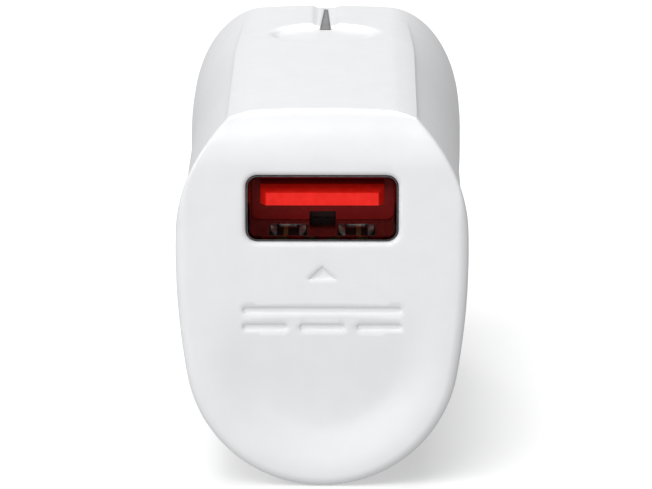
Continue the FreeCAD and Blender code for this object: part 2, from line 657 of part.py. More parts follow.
CAPACITOR_X, CAPACITOR_PITCH, CAPACITOR_RADIUS = 4.3, 3.5, 4.0
INPUT_CAPACITOR_Y, OUTPUT_CAPACITOR_Y = -18.6, -45.4
FUSE_Y, FUSE_PITCH = -15.0, 10.6
SAFETY_X, SAFETY_Y, SAFETY_PITCH = -5.4, -38.0, 4.8
CHOKE_X, CHOKE_Y, CHOKE_RADIUS, CHOKE_HEIGHT = -5.2, -20.6, 3.2, 6.0
CORE_Y, CORE_Z = -33.0, -4.6
CORE_HALF_X, CORE_HALF_Y, CORE_HALF_Z = 8.0, 7.4, 2.5
CORE_LEG, CORE_SIDE = 2.0, 1.8
BACK_PLATE = 2.6


def core_half(side):
    """Ferrite E core half, side is -1 for the USB end and +1 for the plug end."""
    split = CORE_Y + side * 0.03
    end = CORE_Y + side * CORE_HALF_Y
    z = (CORE_Z - CORE_HALF_Z, CORE_Z + CORE_HALF_Z)
    plate = box((-CORE_HALF_X, CORE_HALF_X), sorted((end, end - side * BACK_PLATE)), z)
    legs = [box((-CORE_LEG, CORE_LEG), sorted((split, end)), z)]
    for x in (-1, 1):
        legs.append(box(sorted((x * CORE_HALF_X, x * (CORE_HALF_X - CORE_SIDE))), sorted((split, end)), z))
    return fused([plate] + legs)


FLANGE_Y = CORE_HALF_Y - BACK_PLATE - 0.1
FLANGE = 0.7
BOBBIN_HALF_X, BOBBIN_HALF_Z = 5.9, 5.6
TUBE_GAP, TUBE_WALL = 0.1, 0.5


def rounded_block(half_x, half_z, y, radius):
    """Block centred on the core, rounded along Y."""
    block = box((-half_x, half_x), y, (CORE_Z - half_z, CORE_Z + half_z))
    return block.makeFillet(radius, along_y(block))


def bobbin():
    inner_x, inner_z = CORE_LEG + TUBE_GAP, CORE_HALF_Z + TUBE_GAP
    low, high = CORE_Y - FLANGE_Y, CORE_Y + FLANGE_Y
    tube = rounded_block(inner_x + TUBE_WALL, inner_z + TUBE_WALL, (low, high), 0.4)
    pieces = [tube]
    for y in ((low, low + FLANGE), (high - FLANGE, high)):
        pieces.append(rounded_block(BOBBIN_HALF_X, BOBBIN_HALF_Z, y, 0.8))
        rail_top = BOARD_BOTTOM_Z - 0.1
        pieces.append(box((-7.0, 7.0), y, (CORE_Z + CORE_HALF_Z + 0.2, rail_top)))
    hole = box((-inner_x, inner_x), (low - 1, high + 1), (CORE_Z - inner_z, CORE_Z + inner_z))
    return fused(pieces).cut([hole] + transformer_pin_rods())


def winding(inner, outer):
    """One layer of wire round the bobbin, as growths of the tube's section."""
    x, z = CORE_LEG + TUBE_GAP + TUBE_WALL, CORE_HALF_Z + TUBE_GAP + TUBE_WALL
    span = (CORE_Y - FLANGE_Y + FLANGE + 0.05, CORE_Y + FLANGE_Y - FLANGE - 0.05)
    solid = rounded_block(x + outer, z + outer, span, 0.5 + outer * 0.6)
    return solid.cut(rounded_block(x + inner, z + inner, (span[0] - 1, span[1] + 1), 0.4 + inner * 0.6))


def transformer_pin_places():
    rail = FLANGE_Y - FLANGE / 2
    return [(x, CORE_Y + side * rail) for side in (-1, 1) for x in (-6.4, -3.2, 3.2, 6.4)]


def transformer_pin_rods():
    """Pins moulded into the bobbin's rails, up to the far side of the board."""
    return [rod_z(0.25, BOARD_BOTTOM_Z - 0.8, BOARD_TOP_Z, x, y) for x, y in transformer_pin_places()]


def can_capacitor(x, y, length):
    """Radial capacitor hanging under the board: a can with a crimp groove, on two leads."""
    top = BOARD_BOTTOM_Z - 0.35
    can = rod_z(CAPACITOR_RADIUS, top - length, top, x, y)
    can = can.makeFillet(0.5, circles(can))
    crimp = Part.makeTorus(CAPACITOR_RADIUS + 0.35, 0.7, Vector(x, y, top - 2.2), Vector(0, 0, 1))
    leads = [rod_z(0.3, top - 0.2, BOARD_TOP_Z, x, y + dy) for dy in (-CAPACITOR_PITCH / 2, CAPACITOR_PITCH / 2)]
    return fused([can.cut(crimp)] + leads)


def chip(x, y, size, legs, pitch):
    """Surface-mount package with gull legs on both sides; size is its length in X, width in Y and height."""
    base = BOARD_TOP_Z + 0.02
    half_x, half_y = size[0] / 2, size[1] / 2
    pieces = [box((x - half_x, x + half_x), (y - half_y, y + half_y), (base + 0.15, base + size[2]))]
    for side in (-1, 1):
        for k in range(legs):
            leg_x = x + (k - (legs - 1) / 2) * pitch
            foot = sorted((y + side * (half_y - 0.05), y + side * (half_y + 0.8)))
            pieces.append(box((leg_x - 0.2, leg_x + 0.2), foot, (base, base + 0.35)))
    return fused(pieces)


def fuse_resistor():
    """Axial fusible resistor lying across the board, with its leads bent down through it."""
    z, reach = BOARD_TOP_Z + 2.1, FUSE_PITCH / 2
    pieces = [rod_x(1.5, -3.6, 3.6, FUSE_Y, z), rod_x(0.3, -reach, reach, FUSE_Y, z)]
    for side in (-1, 1):
        pieces.append(rod_x(1.75, *sorted((side * 2.7, side * 3.9)), FUSE_Y, z))
        pieces.append(rod_z(0.3, BOARD_BOTTOM_Z, z, side * reach, FUSE_Y))
        pieces.append(Part.makeSphere(0.3, Vector(side * reach, FUSE_Y, z)))
    return fused(pieces)


def choke():
    """Drum choke: a ferrite spool."""
    base = BOARD_TOP_Z + 0.05
    top = base + CHOKE_HEIGHT
    return fused([rod_z(CHOKE_RADIUS, base, base + 0.9, CHOKE_X, CHOKE_Y), rod_z(1.4, base, top, CHOKE_X, CHOKE_Y),
                  rod_z(CHOKE_RADIUS, top - 0.9, top, CHOKE_X, CHOKE_Y)])


def choke_winding():
    base = BOARD_TOP_Z + 0.05
    wound = rod_z(CHOKE_RADIUS - 0.3, base + 0.95, base + CHOKE_HEIGHT - 0.95, CHOKE_X, CHOKE_Y)
    return wound.cut(rod_z(1.42, base, base + CHOKE_HEIGHT, CHOKE_X, CHOKE_Y))


def disc_capacitor():
    """Safety capacitor between the two sides, a lens-shaped disc on two leads."""
    z = BOARD_TOP_Z + 4.6
    disc = rod_y(3.6, SAFETY_Y - 1.5, SAFETY_Y + 1.5, SAFETY_X, z)
    disc = disc.makeFillet(1.2, circles(disc))
    leads = [rod_z(0.3, BOARD_BOTTOM_Z, z - 2.0, SAFETY_X + dx, SAFETY_Y)
             for dx in (-SAFETY_PITCH / 2, SAFETY_PITCH / 2)]
    return fused([disc] + leads)


def chip_row(places, size):
    """Small surface-mount parts, all alike, as separate solids."""
    return Part.makeCompound([box((x - size[0] / 2, x + size[0] / 2), (y - size[1] / 2, y + size[1] / 2),
                                  (BOARD_TOP_Z, BOARD_TOP_Z + size[2])) for x, y in places])


def lead(z, side):
    """Insulated wire from a pin's tail to the board, run as straight stretches joined by an arc."""
    radius, bend = 0.65, 1.6
    target = BOARD_TOP_Z + 0.05 if side > 0 else BOARD_BOTTOM_Z - 0.05
    start = Vector(0, PIN_TAIL_Y, z)
    end_y = BOARD_REAR_Y - 2.6
    corner = Vector(0, end_y, z)
    turn = bend * (1 - math.sqrt(0.5))
    down = -side
    a, c = Vector(0, end_y + bend, z), Vector(0, end_y, z + down * bend)
    middle = Vector(0, end_y + turn, z + down * turn)
    path = Part.Wire([Part.makeLine(start, a), Part.Arc(a, middle, c).toShape(),
                      Part.makeLine(c, Vector(0, corner.y, target))])
    section = Part.Wire([Part.makeCircle(radius, start, Vector(0, 1, 0))])
    return path.makePipeShell([section], True, False)


def insulation_sheet():
    """Barrier film between the mains capacitors and the transformer."""
    y = INPUT_CAPACITOR_Y - CAPACITOR_RADIUS - 1.4
    return inner_slice(WALL + 0.1, (y, y + 0.25), (CAVITY_BOTTOM_Z, BOARD_BOTTOM_Z - 1.2))


def thermal_pad():
    """Silicone pad between the transformer and the bottom of the housing."""
    half_x, half_y = 4.5, 5.0
    reach = (CORE_Y - half_y, CORE_Y + half_y)
    bed = inner_slice(WALL + 0.05, reach, (CAVITY_BOTTOM_Z, CORE_Z - BOBBIN_HALF_Z - 0.05))
    return bed.common(box((-half_x, half_x), reach, (CAVITY_BOTTOM_Z, CORE_Z)))


def electronics():
    made = {"main_board": board()}
    made["transformer_core_front"] = core_half(-1)
    made["transformer_core_rear"] = core_half(1)
    made["transformer_bobbin"] = bobbin()
    made["primary_winding"] = winding(0.05, 1.2)
    made["secondary_winding"] = winding(1.25, 1.9)
    made["winding_tape"] = winding(1.95, 2.15)
    made["transformer_pins"] = Part.makeCompound(transformer_pin_rods())
    for side, x in (("left", -CAPACITOR_X), ("right", CAPACITOR_X)):
        made[f"input_capacitor_{side}"] = can_capacitor(x, INPUT_CAPACITOR_Y, 12.6)
        made[f"output_capacitor_{side}"] = can_capacitor(x, OUTPUT_CAPACITOR_Y, 10.5)
    made["bridge_rectifier"] = chip(4.6, -20.2, (4.7, 3.8, 2.5), 2, 2.5)
    made["fuse_resistor"] = fuse_resistor()
    made["input_choke"] = choke()
    made["input_choke_winding"] = choke_winding()
    made["switching_controller"] = chip(4.4, -26.5, (5.0, 3.9, 1.6), 4, 1.27)
    made["switching_transistor"] = chip(4.2, -34.0, (6.6, 6.0, 2.3), 2, 4.6)
    made["optocoupler"] = chip(3.6, -42.0, (4.6, 6.2, 3.4), 2, 2.54)
    made["safety_capacitor"] = disc_capacitor()
    made["output_rectifier"] = chip(-4.4, -45.0, (5.0, 3.9, 1.6), 4, 1.27)
    made["charge_controller"] = chip(5.6, -47.9, (2.9, 1.6, 1.1), 3, 0.95)
    made["chip_resistors"] = chip_row([(x, y) for x in (-0.6, 0.9) for y in (-22.0, -24.4, -26.8, -29.2)],
                                      (0.8, 1.6, 0.45))
    made["chip_capacitors"] = chip_row([(x, -54.4) for x in (-7.8, 7.8)] + [(x, -40.0) for x in (-1.2, 0.4)],
                                       (1.2, 2.0, 0.9))
    made["insulation_sheet"] = insulation_sheet()
    made["thermal_pad"] = thermal_pad()
    return made


# ---- all pieces --------------------------------------------------------------------------------
def pieces():
    made = {"housing": housing(), "plug_cap": plug_cap(), "slot_insert": slot_insert()}
    for name, z in pin_positions().items():
        made[f"pin_{name}"] = pin(z)
        made[f"pin_sleeve_{name}"] = sleeve(z)
        made[f"pin_lead_{name}"] = lead(z, math.copysign(1, z))
    made["port_shell"] = port_shell()
    made["port_tongue"] = port_tongue()
    for side, x in (("left", -SPRING_X), ("right", SPRING_X)):
        made[f"port_spring_{side}"] = port_spring(x)
    for name, x in CONTACT_X.items():
        made[f"contact_{name}"] = contact(x)
    made["contact_tails"] = Part.makeCompound([tail_path(x, 0) for x in CONTACT_X.values()])
    made.update(electronics())
    return made


def main():
    os.makedirs(PARTS, exist_ok=True)
    for name, shape in pieces().items():
        save(name, shape)


main()
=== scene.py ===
import bmesh
import bpy
import json
import math
import numpy as np
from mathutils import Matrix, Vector
from mathutils.geometry import delaunay_2d_cdt


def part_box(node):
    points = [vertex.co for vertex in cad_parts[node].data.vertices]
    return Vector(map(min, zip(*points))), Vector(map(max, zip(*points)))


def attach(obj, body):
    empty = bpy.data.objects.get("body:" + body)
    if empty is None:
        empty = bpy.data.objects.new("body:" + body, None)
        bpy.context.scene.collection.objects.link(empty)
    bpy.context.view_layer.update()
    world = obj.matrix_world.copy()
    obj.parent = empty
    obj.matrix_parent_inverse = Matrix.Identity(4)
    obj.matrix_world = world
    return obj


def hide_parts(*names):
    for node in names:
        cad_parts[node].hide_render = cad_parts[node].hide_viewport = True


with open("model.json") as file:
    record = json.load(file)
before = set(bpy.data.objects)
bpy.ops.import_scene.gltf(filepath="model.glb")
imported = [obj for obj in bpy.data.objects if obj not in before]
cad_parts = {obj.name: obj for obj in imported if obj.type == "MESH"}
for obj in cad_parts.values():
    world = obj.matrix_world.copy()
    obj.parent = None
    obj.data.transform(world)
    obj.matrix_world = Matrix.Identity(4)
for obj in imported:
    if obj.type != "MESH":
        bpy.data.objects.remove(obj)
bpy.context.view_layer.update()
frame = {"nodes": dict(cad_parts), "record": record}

MM = 0.001
BODY = "charger"


def corners(node):
    """Lowest and highest corner of a CAD node, in millimetres."""
    return [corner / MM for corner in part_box(node)]


# ---- sizes of the case, in millimetres ---------------------------------------------------------
CASE_LOW, CASE_HIGH = corners("housing")
FACE_Y, END_Y = CASE_LOW.y, CASE_HIGH.y
TOP_Z = CASE_HIGH.z
HALF_WIDTH = CASE_HIGH.x

WIDEST_Z = 4.4
BOTTOM_RADIUS = 11.9
BOTTOM_CENTRE_Z = BOTTOM_RADIUS + CASE_LOW.z
SIDE_RADIUS = (HALF_WIDTH**2 + (WIDEST_Z - BOTTOM_CENTRE_Z)**2 - BOTTOM_RADIUS**2) / (
    2 * (HALF_WIDTH - BOTTOM_RADIUS))
SIDE_CENTRE_X = HALF_WIDTH - SIDE_RADIUS
SHOULDER_START_Z = 6.0
CROWN_HALF, CROWN = 7.1, 0.23       # the top panel's edges lie this far below its middle
PANEL_HALF = 5.8            # from here the panel curves down to the crease
CREASE_X, CREASE_Z = 8.2, 15.82

BROW_RADIUS, BROW_DEPTH = 4.5, 3.2  # the brow's height and its depth along Y
BROW_Z = TOP_Z - BROW_RADIUS
SCOOP_DEPTH = 0.55
FAR_PANEL_POINT, FAR_SHOULDER_POINT = (9.5, 16.2), (12.6, 12.0)   # steer the fuller shoulder at the plug end
FAR_START_Y, FAR_END_Y = -27.0, -7.0
SHARP_EDGE, SOFT_EDGE = 0.25, 0.9   # rounding of the face's edge at the shoulders and lower down
LIP_HIGH, LIP_LOW = 0.43, 0.2       # band between the face's edge and the hand grips
GRIP_CORNER = 1.6
GRIP_SINK = 0.42
GRIP_FILLET = 0.9
WALL, FRONT_WALL = 2.0, 1.6

DISH_Y, DISH_RADIUS, DISH_FLOOR_RADIUS, DISH_DEPTH = -18.4, 5.4, 4.1, 0.4
GROOVE_TOP_HALF, GROOVE_FLOOR_HALF, GROOVE_DEPTH = 1.45, 0.65, 0.22
SLOT_START_Y, SLOT_END_Y, SLOT_DEPTH = -14.8, END_Y - 0.35, 1.85
SLOT_HALF_WIDE, SLOT_HALF_NARROW = 0.5, 0.15
INSERT_TOP_Z = corners("slot_insert")[1].z

CAP_INSET, CAP_DROP, CAP_ROUND = 0.15, 0.48, 2.6
SKIRT_START_Y, SKIRT_INSET, SKIRT_WALL = -8.0, 2.06, 1.3
PIN_HALF_SPACING, PIN_RADIUS, SHANK_RADIUS, COLLAR_RADIUS = 9.5, 2.0, 1.5, 2.7
PIN_TAIL_Y, PIN_END_Y = corners("pin_line")[0].y, corners("pin_line")[1].y
SLEEVE_RADIUS, SLEEVE_END_Y = 1.8, corners("pin_sleeve_line")[1].y

SPRING_X = 2.95
SPRING_LOW, SPRING_HIGH = corners("port_spring_right")
SPRING_ARM_HALF, SPRING_HEAD_HALF, SPRING_SHEET = 0.75, 1.55, 0.2

PORT_HIGH = corners("port_shell")[1]
PORT_HALF_WIDTH = PORT_HIGH.x
PORT_HALF_HEIGHT = 2.86
PORT_Z = PORT_HIGH.z - PORT_HALF_HEIGHT
PORT_CORNER = 0.95
PORT_GAP = 0.06
PORT_LEAD_IN = 0.45


def smooth(t):
    """Soft step from 0 to 1."""
    t = min(1.0, max(0.0, t))
    return t * t * (3 - 2 * t)


# ---- mesh helpers --------------------------------------------------------------------------------
class Skin:
    """Points in millimetres and faces, gathered before they become a mesh."""

    def __init__(self):
        self.points = []
        self.faces = []

    def row(self, points):
        """Adds points and returns their indices."""
        start = len(self.points)
        self.points.extend(points)
        return list(range(start, len(self.points)))

    def strip(self, first, second, closed=True):
        """Quads between two rows of the same length."""
        count = len(first)
        for k in range(count if closed else count - 1):
            n = (k + 1) % count
            self.faces.append((first[k], first[n], second[n], second[k]))

    def patch(self, rings, place, inner=()):
        """Triangles between index rings (the first is the outer one), through inner points.

        rings holds (indices, flat points); place turns an inner flat point into a 3D point.
        """
        flat, indices, edges = [], [], []
        for ring, ring_flat in rings:
            start = len(flat)
            flat.extend(ring_flat)
            indices.extend(ring)
            edges.extend((start + k, start + (k + 1) % len(ring)) for k in range(len(ring)))
        inner = free_points(inner, [r[1] for r in rings]) if len(inner) else []
        indices.extend(self.row([place(*p) for p in inner]))
        flat.extend(inner)
        made = delaunay_2d_cdt([Vector(p) for p in flat], edges, [], 0, 1e-6)
        sources = [origin[0] if origin else None for origin in made[3]]
        places = np.array(made[0], float)
        centres = places[np.array(made[2])].mean(axis=1)
        keep = contains(rings[0][1], centres)
        for _, hole in rings[1:]:
            keep &= ~contains(hole, centres)
        for triangle, kept in zip(made[2], keep):
            corner = [sources[v] for v in triangle]
            if kept and None not in corner:
                self.faces.append(tuple(indices[v] for v in corner))

    def build(self, name, material, slot, body=BODY, replaces=(), sharp=40):
        """Makes the mesh object, and says what it rides on and what it replaces; slot is not used."""
        mesh = bpy.data.meshes.new(name)
        mesh.from_pydata([Vector(p) * MM for p in self.points], [], self.faces)
        work = bmesh.new()
        work.from_mesh(mesh)
        bmesh.ops.remove_doubles(work, verts=work.verts, dist=0.002 * MM)
        bmesh.ops.recalc_face_normals(work, faces=work.faces)
        work.to_mesh(mesh)
        work.free()
        mesh.shade_smooth()
        mesh.set_sharp_from_angle(angle=math.radians(sharp))
        mesh.materials.append(material)
        made = bpy.data.objects.new(name, mesh)
        bpy.context.scene.collection.objects.link(made)
        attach(made, body)
        if replaces:
            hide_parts(*replaces)
        return made


def contains(polygon, points):
    """Which of the points lie inside a closed polygon."""
    px, py = points[:, 0], points[:, 1]
    inside = np.zeros(len(points), bool)
    ring = np.array(polygon, float)
    for (x1, y1), (x2, y2) in zip(ring, np.roll(ring, -1, axis=0)):
        if y1 != y2:
            crosses = ((y1 > py) != (y2 > py)) & (px < (x2 - x1) * (py - y1) / (y2 - y1) + x1)
            inside ^= crosses
    return inside


def distances(polygon, points):
    """Distance from each point to a closed polygon's line."""
    best = np.full(len(points), 1e9)
    ring = np.array(polygon, float)
    for a, b in zip(ring, np.roll(ring, -1, axis=0)):
        span = b - a
        size = max(1e-12, float(span @ span))
        t = np.clip(((points - a) @ span) / size, 0, 1)
        best = np.minimum(best, np.linalg.norm(points - a - t[:, None] * span, axis=1))
    return best


def free_points(points, polygons, margin=0.2):
    """The points inside the first polygon, outside the others and clear of all their lines."""
    points = np.array(points, float)
    keep = contains(polygons[0], points)
    for polygon in polygons[1:]:
        keep &= ~contains(polygon, points)
    for polygon in polygons:
        keep &= distances(polygon, points) > margin
    return [tuple(p) for p in points[keep]]


def rounded_rectangle(half_w, half_h, corner, centre=(0.0, 0.0), steps=6):
    """Corner arcs of a rounded rectangle, anticlockwise."""
    points = []
    for k, (sx, sz) in enumerate(((1, 1), (-1, 1), (-1, -1), (1, -1))):
        for step in range(steps + 1):
            angle = math.radians(90 * k + 90 * step / steps)
            points.append((centre[0] + sx * (half_w - corner) + corner * math.cos(angle),
                           centre[1] + sz * (half_h - corner) + corner * math.sin(angle)))
    return points


def subdivided(outline, grow, spacing):
    """outline(grow) with its long edges cut into steps, as many as outline(0) needs for the spacing."""
    points, base = outline(grow), outline(0.0)
    made = []
    for k, a in enumerate(points):
        n = (k + 1) % len(points)
        b = points[n]
        count = max(1, round(math.dist(base[k], base[n]) / spacing))
        made.extend((a[0] + (b[0] - a[0]) * i / count, a[1] + (b[1] - a[1]) * i / count)
                    for i in range(count))
    return made


# ---- section of the case -------------------------------------------------------------------------
def crown_drop(x):
    """How far the top lies below TOP_Z at x, without the curve to the crease."""
    return CROWN * min(1.0, abs(x) / CROWN_HALF)**2


def shoulder_circle():
    """Radius and centre of the shoulder arc: through the crease and tangent to the side arc."""
    nz = (SHOULDER_START_Z - WIDEST_Z) / SIDE_RADIUS
    nx = math.sqrt(1 - nz**2)
    join = SIDE_CENTRE_X + nx * SIDE_RADIUS, SHOULDER_START_Z
    dx, dz = CREASE_X - join[0], CREASE_Z - join[1]
    radius = -(dx**2 + dz**2) / (2 * (nx * dx + nz * dz))
    return radius, join[0] - radius * nx, join[1] - radius * nz


def graded(start, end, near, far):
    """Values from start to end, with steps that grow from near to far."""
    values, value, step = [start], start, near
    while value + step < end:
        value += step
        values.append(value)
        step = min(far, step * 1.35)
    if end - values[-1] < 0.4 * step and len(values) > 1:
        values.pop()
    return values + [end]


class Column:
    """One line of the skin along Y. x may follow the slot's taper; run is the arc from the crease."""

    def __init__(self, x, z=None, normal=(0.0, 1.0), run=-1.0, follows=False):
        self.x, self.z, self.normal, self.run, self.follows = x, z, normal, run, follows
        self.panel = z is None
        self.far = None
        self.side = 1

    def mirrored(self):
        """The same column on the other side of the middle."""
        twin = Column(self.x, self.z, self.normal, self.run, self.follows)
        twin.far, twin.side = self.far, -1
        return twin

    def at(self, y):
        """x, z and outward normal at y. The shoulder swells to its far section near the plug end."""
        if self.far is None:
            return self.x, self.z, self.normal
        share = smooth((y - FAR_START_Y) / (FAR_END_Y - FAR_START_Y))
        mixed = [a + (b - a) * share for a, b in zip((self.x, self.z, *self.normal), self.far)]
        size = math.hypot(mixed[2], mixed[3])
        return mixed[0], mixed[1], (mixed[2] / size, mixed[3] / size)


def far_section(share):
    """Point and normal of the fuller shoulder, from the panel's edge (0) to the side (1)."""
    points = [Vector(p) for p in ((PANEL_HALF, TOP_Z - crown_drop(PANEL_HALF)), FAR_PANEL_POINT,
                                  FAR_SHOULDER_POINT, (SIDE_CENTRE_X + SIDE_RADIUS, SHOULDER_START_Z))]
    a, b, c, d = points
    place = (a * (1 - share)**3 + b * 3 * share * (1 - share)**2
             + c * 3 * share**2 * (1 - share) + d * share**3)
    along = (b - a) * (1 - share)**2 + (c - b) * 2 * share * (1 - share) + (d - c) * share**2
    along.normalize()
    return place.x, place.y, -along.y, along.x


def swell(columns):
    """Gives the bevel and shoulder columns their places on the far section."""
    lengths = [0.0]
    for first, second in zip(columns, columns[1:]):
        lengths.append(lengths[-1] + math.dist((first.x, first.z), (second.x, second.z)))
    for column, length in zip(columns, lengths):
        column.far = far_section(length / lengths[-1])
    return columns


def panel_columns():
    """From the middle of the top panel outwards, close together at the slot and the groove."""
    made = [Column(0.0), Column(-0.04, follows=True), Column(0.0, follows=True), Column(0.06, follows=True)]
    stops = [0.62, 0.70, 0.78, 0.86, 0.96, 1.05, 1.14, 1.24, 1.34, 1.42, 1.5]
    return made + [Column(x) for x in stops + [1.75 + 0.25 * k for k in range(16)]]


def bevel_columns():
    """From the panel's edge to the crease, ever steeper."""
    bend = (TOP_Z - CROWN - CREASE_Z) / (CREASE_X - PANEL_HALF)**2
    made = []
    for share in (0.0, 0.1, 0.2, 0.3, 0.4, 0.5, 0.6, 0.7, 0.8, 0.9, 0.96):
        x = PANEL_HALF + share * (CREASE_X - PANEL_HALF)
        slope = 2 * CROWN * min(x, CROWN_HALF) / CROWN_HALF**2 + 2 * bend * (x - PANEL_HALF)
        size = math.hypot(slope, 1)
        made.append(Column(x, TOP_Z - crown_drop(x) - bend * (x - PANEL_HALF)**2, (slope / size, 1 / size)))
    return made


def shoulder_columns():
    """The round shoulder, from the crease down to the side."""
    radius, cx, cz = shoulder_circle()
    start = math.atan2(CREASE_Z - cz, CREASE_X - cx)
    end = math.atan2(SHOULDER_START_Z - cz, SIDE_CENTRE_X + SIDE_RADIUS - cx)
    made = []
    for run in graded(0.0, radius * (start - end), 0.04, 0.5):
        angle = start - run / radius
        nx, nz = math.cos(angle), math.sin(angle)
        made.append(Column(cx + radius * nx, cz + radius * nz, (nx, nz), run))
    return made


def lower_columns(run):
    """Side arc and bottom arc, below the shoulder."""
    turn = math.atan2(BOTTOM_CENTRE_Z - WIDEST_Z, -SIDE_CENTRE_X)
    start = math.asin((SHOULDER_START_Z - WIDEST_Z) / SIDE_RADIUS)
    made = []
    for circle, a, b, count in (((SIDE_CENTRE_X, WIDEST_Z, SIDE_RADIUS), start, turn, 14),
                                ((0.0, BOTTOM_CENTRE_Z, BOTTOM_RADIUS), turn, -math.pi / 2, 30)):
        for k in range(1, count + 1):
            angle = a + (b - a) * k / count
            nx, nz = math.cos(angle), math.sin(angle)
            run += abs(b - a) / count * circle[2]
            made.append(Column(circle[0] + circle[2] * nx, circle[1] + circle[2] * nz, (nx, nz), run))
    return made


def loop_columns():
    """All columns, clockwise from the panel's middle, seen from the USB end."""
    shoulder = shoulder_columns()
    right = panel_columns() + swell(bevel_columns() + shoulder) + lower_columns(shoulder[-1].run)
    left = [column.mirrored() for column in right[1:-1]]
    return right + left[::-1]


# ---- outer surface -------------------------------------------------------------------------------
def edge_radius(column):
    """Rounding between the USB face and the sides."""
    if column.run < 0:
        return SHARP_EDGE * max(0.0, (column.x - PANEL_HALF) / (CREASE_X - PANEL_HALF))
    return SHARP_EDGE + (SOFT_EDGE - SHARP_EDGE) * smooth((10.4 - column.z) / 4.4)


def scoop(x, z):
    """Depth of the soft hollow in the lower part of the USB face."""
    reach = math.hypot(x, min(0.0, z - BOTTOM_CENTRE_Z))
    inside = BOTTOM_RADIUS - reach
    return SCOOP_DEPTH * smooth((inside - 1.4) / 4.2) * smooth(-z / 10.5)


def front_y(x, z):
    """The USB face and the brow above it."""
    rise = z + crown_drop(x) - BROW_Z
    if rise <= 0:
        return FACE_Y + scoop(x, z)
    return FACE_Y + BROW_DEPTH * (1 - math.sqrt(max(0.0, 1 - (rise / BROW_RADIUS)**2)))


def unroll(x, z):
    """Flat position on the face: x, and the way up the face and round the brow."""
    rise = z + crown_drop(x) - BROW_Z
    if rise <= 0:
        return x, BROW_Z + rise
    return x, BROW_Z + BROW_RADIUS * math.asin(min(1.0, rise / BROW_RADIUS))


def roll(x, s):
    """The 3D point of a flat position on the face."""
    if s <= BROW_Z:
        z = s - crown_drop(x)
        return x, FACE_Y + scoop(x, z), z
    angle = (s - BROW_Z) / BROW_RADIUS
    return (x, FACE_Y + BROW_DEPTH * (1 - math.cos(angle)),
            BROW_Z - crown_drop(x) + BROW_RADIUS * math.sin(angle))


def slot_half(y):
    """Half width of the slot, which narrows towards the plug end."""
    share = min(1.0, max(0.0, (y - SLOT_START_Y) / (END_Y - SLOT_START_Y)))
    return SLOT_HALF_WIDE + (SLOT_HALF_NARROW - SLOT_HALF_WIDE) * share


def dish_and_groove(x, y):
    """Height of the top panel's hollows, zero or less."""
    t = (math.hypot(x, y - DISH_Y) - DISH_FLOOR_RADIUS) / (DISH_RADIUS - DISH_FLOOR_RADIUS)
    t = min(1.0, max(0.0, t))
    wall = 2 * t * t if t < 0.5 else 1 - 2 * (1 - t)**2
    dish = -DISH_DEPTH * (1 - wall)
    if y < DISH_Y:
        return dish
    share = (GROOVE_TOP_HALF - abs(x)) / (GROOVE_TOP_HALF - GROOVE_FLOOR_HALF)
    return min(dish, -GROOVE_DEPTH * smooth(share))


def panel_point(column, y):
    """A point of the top panel, with its hollows and the slot."""
    x = column.x + (slot_half(y) if column.follows else 0.0)
    z = TOP_Z - crown_drop(x) + dish_and_groove(x, y)
    if SLOT_START_Y <= y <= SLOT_END_Y and (column.follows or column.x == 0) and column.x <= 0:
        wall = column.follows and column.x == 0 or y in (SLOT_START_Y, SLOT_END_Y)
        z = z - 0.06 if wall else TOP_Z - SLOT_DEPTH
    return column.side * x, y, z


def grip_depth(column, y, lip_y):
    """How far the hand grip is sunk below the full section."""
    a, b = column.run, y - lip_y
    if a <= 0 or b <= 0:
        return 0.0
    near = min(a, b)
    if a < GRIP_CORNER and b < GRIP_CORNER:
        near = max(0.0, GRIP_CORNER - math.hypot(GRIP_CORNER - a, GRIP_CORNER - b))
    t = min(1.0, near / GRIP_FILLET)
    sink = GRIP_SINK * math.sqrt(1 - (1 - t)**2)
    fade = smooth((y - FAR_START_Y) / (FAR_END_Y - FAR_START_Y))
    return sink * smooth((column.z + 13.0) / 9.0) * (1 - fade)


def lip(column):
    """Width of the band between the face's edge and the grip."""
    if column.panel:
        return LIP_HIGH
    return LIP_LOW + (LIP_HIGH - LIP_LOW) * smooth((column.z - 8.0) / 7.0)


def side_point(column, y, lip_y):
    """A point of the bevel, shoulder or side, sunk where the grip is."""
    sink = grip_depth(column, y, lip_y)
    x, z, normal = column.at(y)
    return column.side * (x - normal[0] * sink), y, z - normal[1] * sink


def front_start(column):
    """Where a column leaves the face's rounded edge."""
    if column.panel:
        return FACE_Y + BROW_DEPTH
    return front_y(column.x, column.z) + edge_radius(column)


def row_offsets(column):
    """Distances of the first rows behind the face's edge."""
    wide = lip(column)
    return [0.0, wide / 2] + [wide + step for step in (0.0, 0.04, 0.1, 0.18, 0.3, 0.45, 0.65, 0.9, 1.3, 1.8)]


COMMON_Y = -53.4


def row_stations():
    """Y of the rows from COMMON_Y back to the seam at the plug end."""
    rows = list(np.arange(COMMON_Y, -24.6, 1.2))
    rows += list(np.arange(-24.2, -12.6, 0.24))
    rows = [y for y in rows if abs(y - SLOT_START_Y) > 0.1]
    rows += [SLOT_START_Y - 0.05, SLOT_START_Y, SLOT_START_Y + 0.03]
    rows += list(np.arange(-12.5, END_Y - 0.8, 0.5))
    rows += [SLOT_END_Y - 0.03, SLOT_END_Y, SLOT_END_Y + 0.05, END_Y - 0.15]
    return sorted(set(float(y) for y in rows))


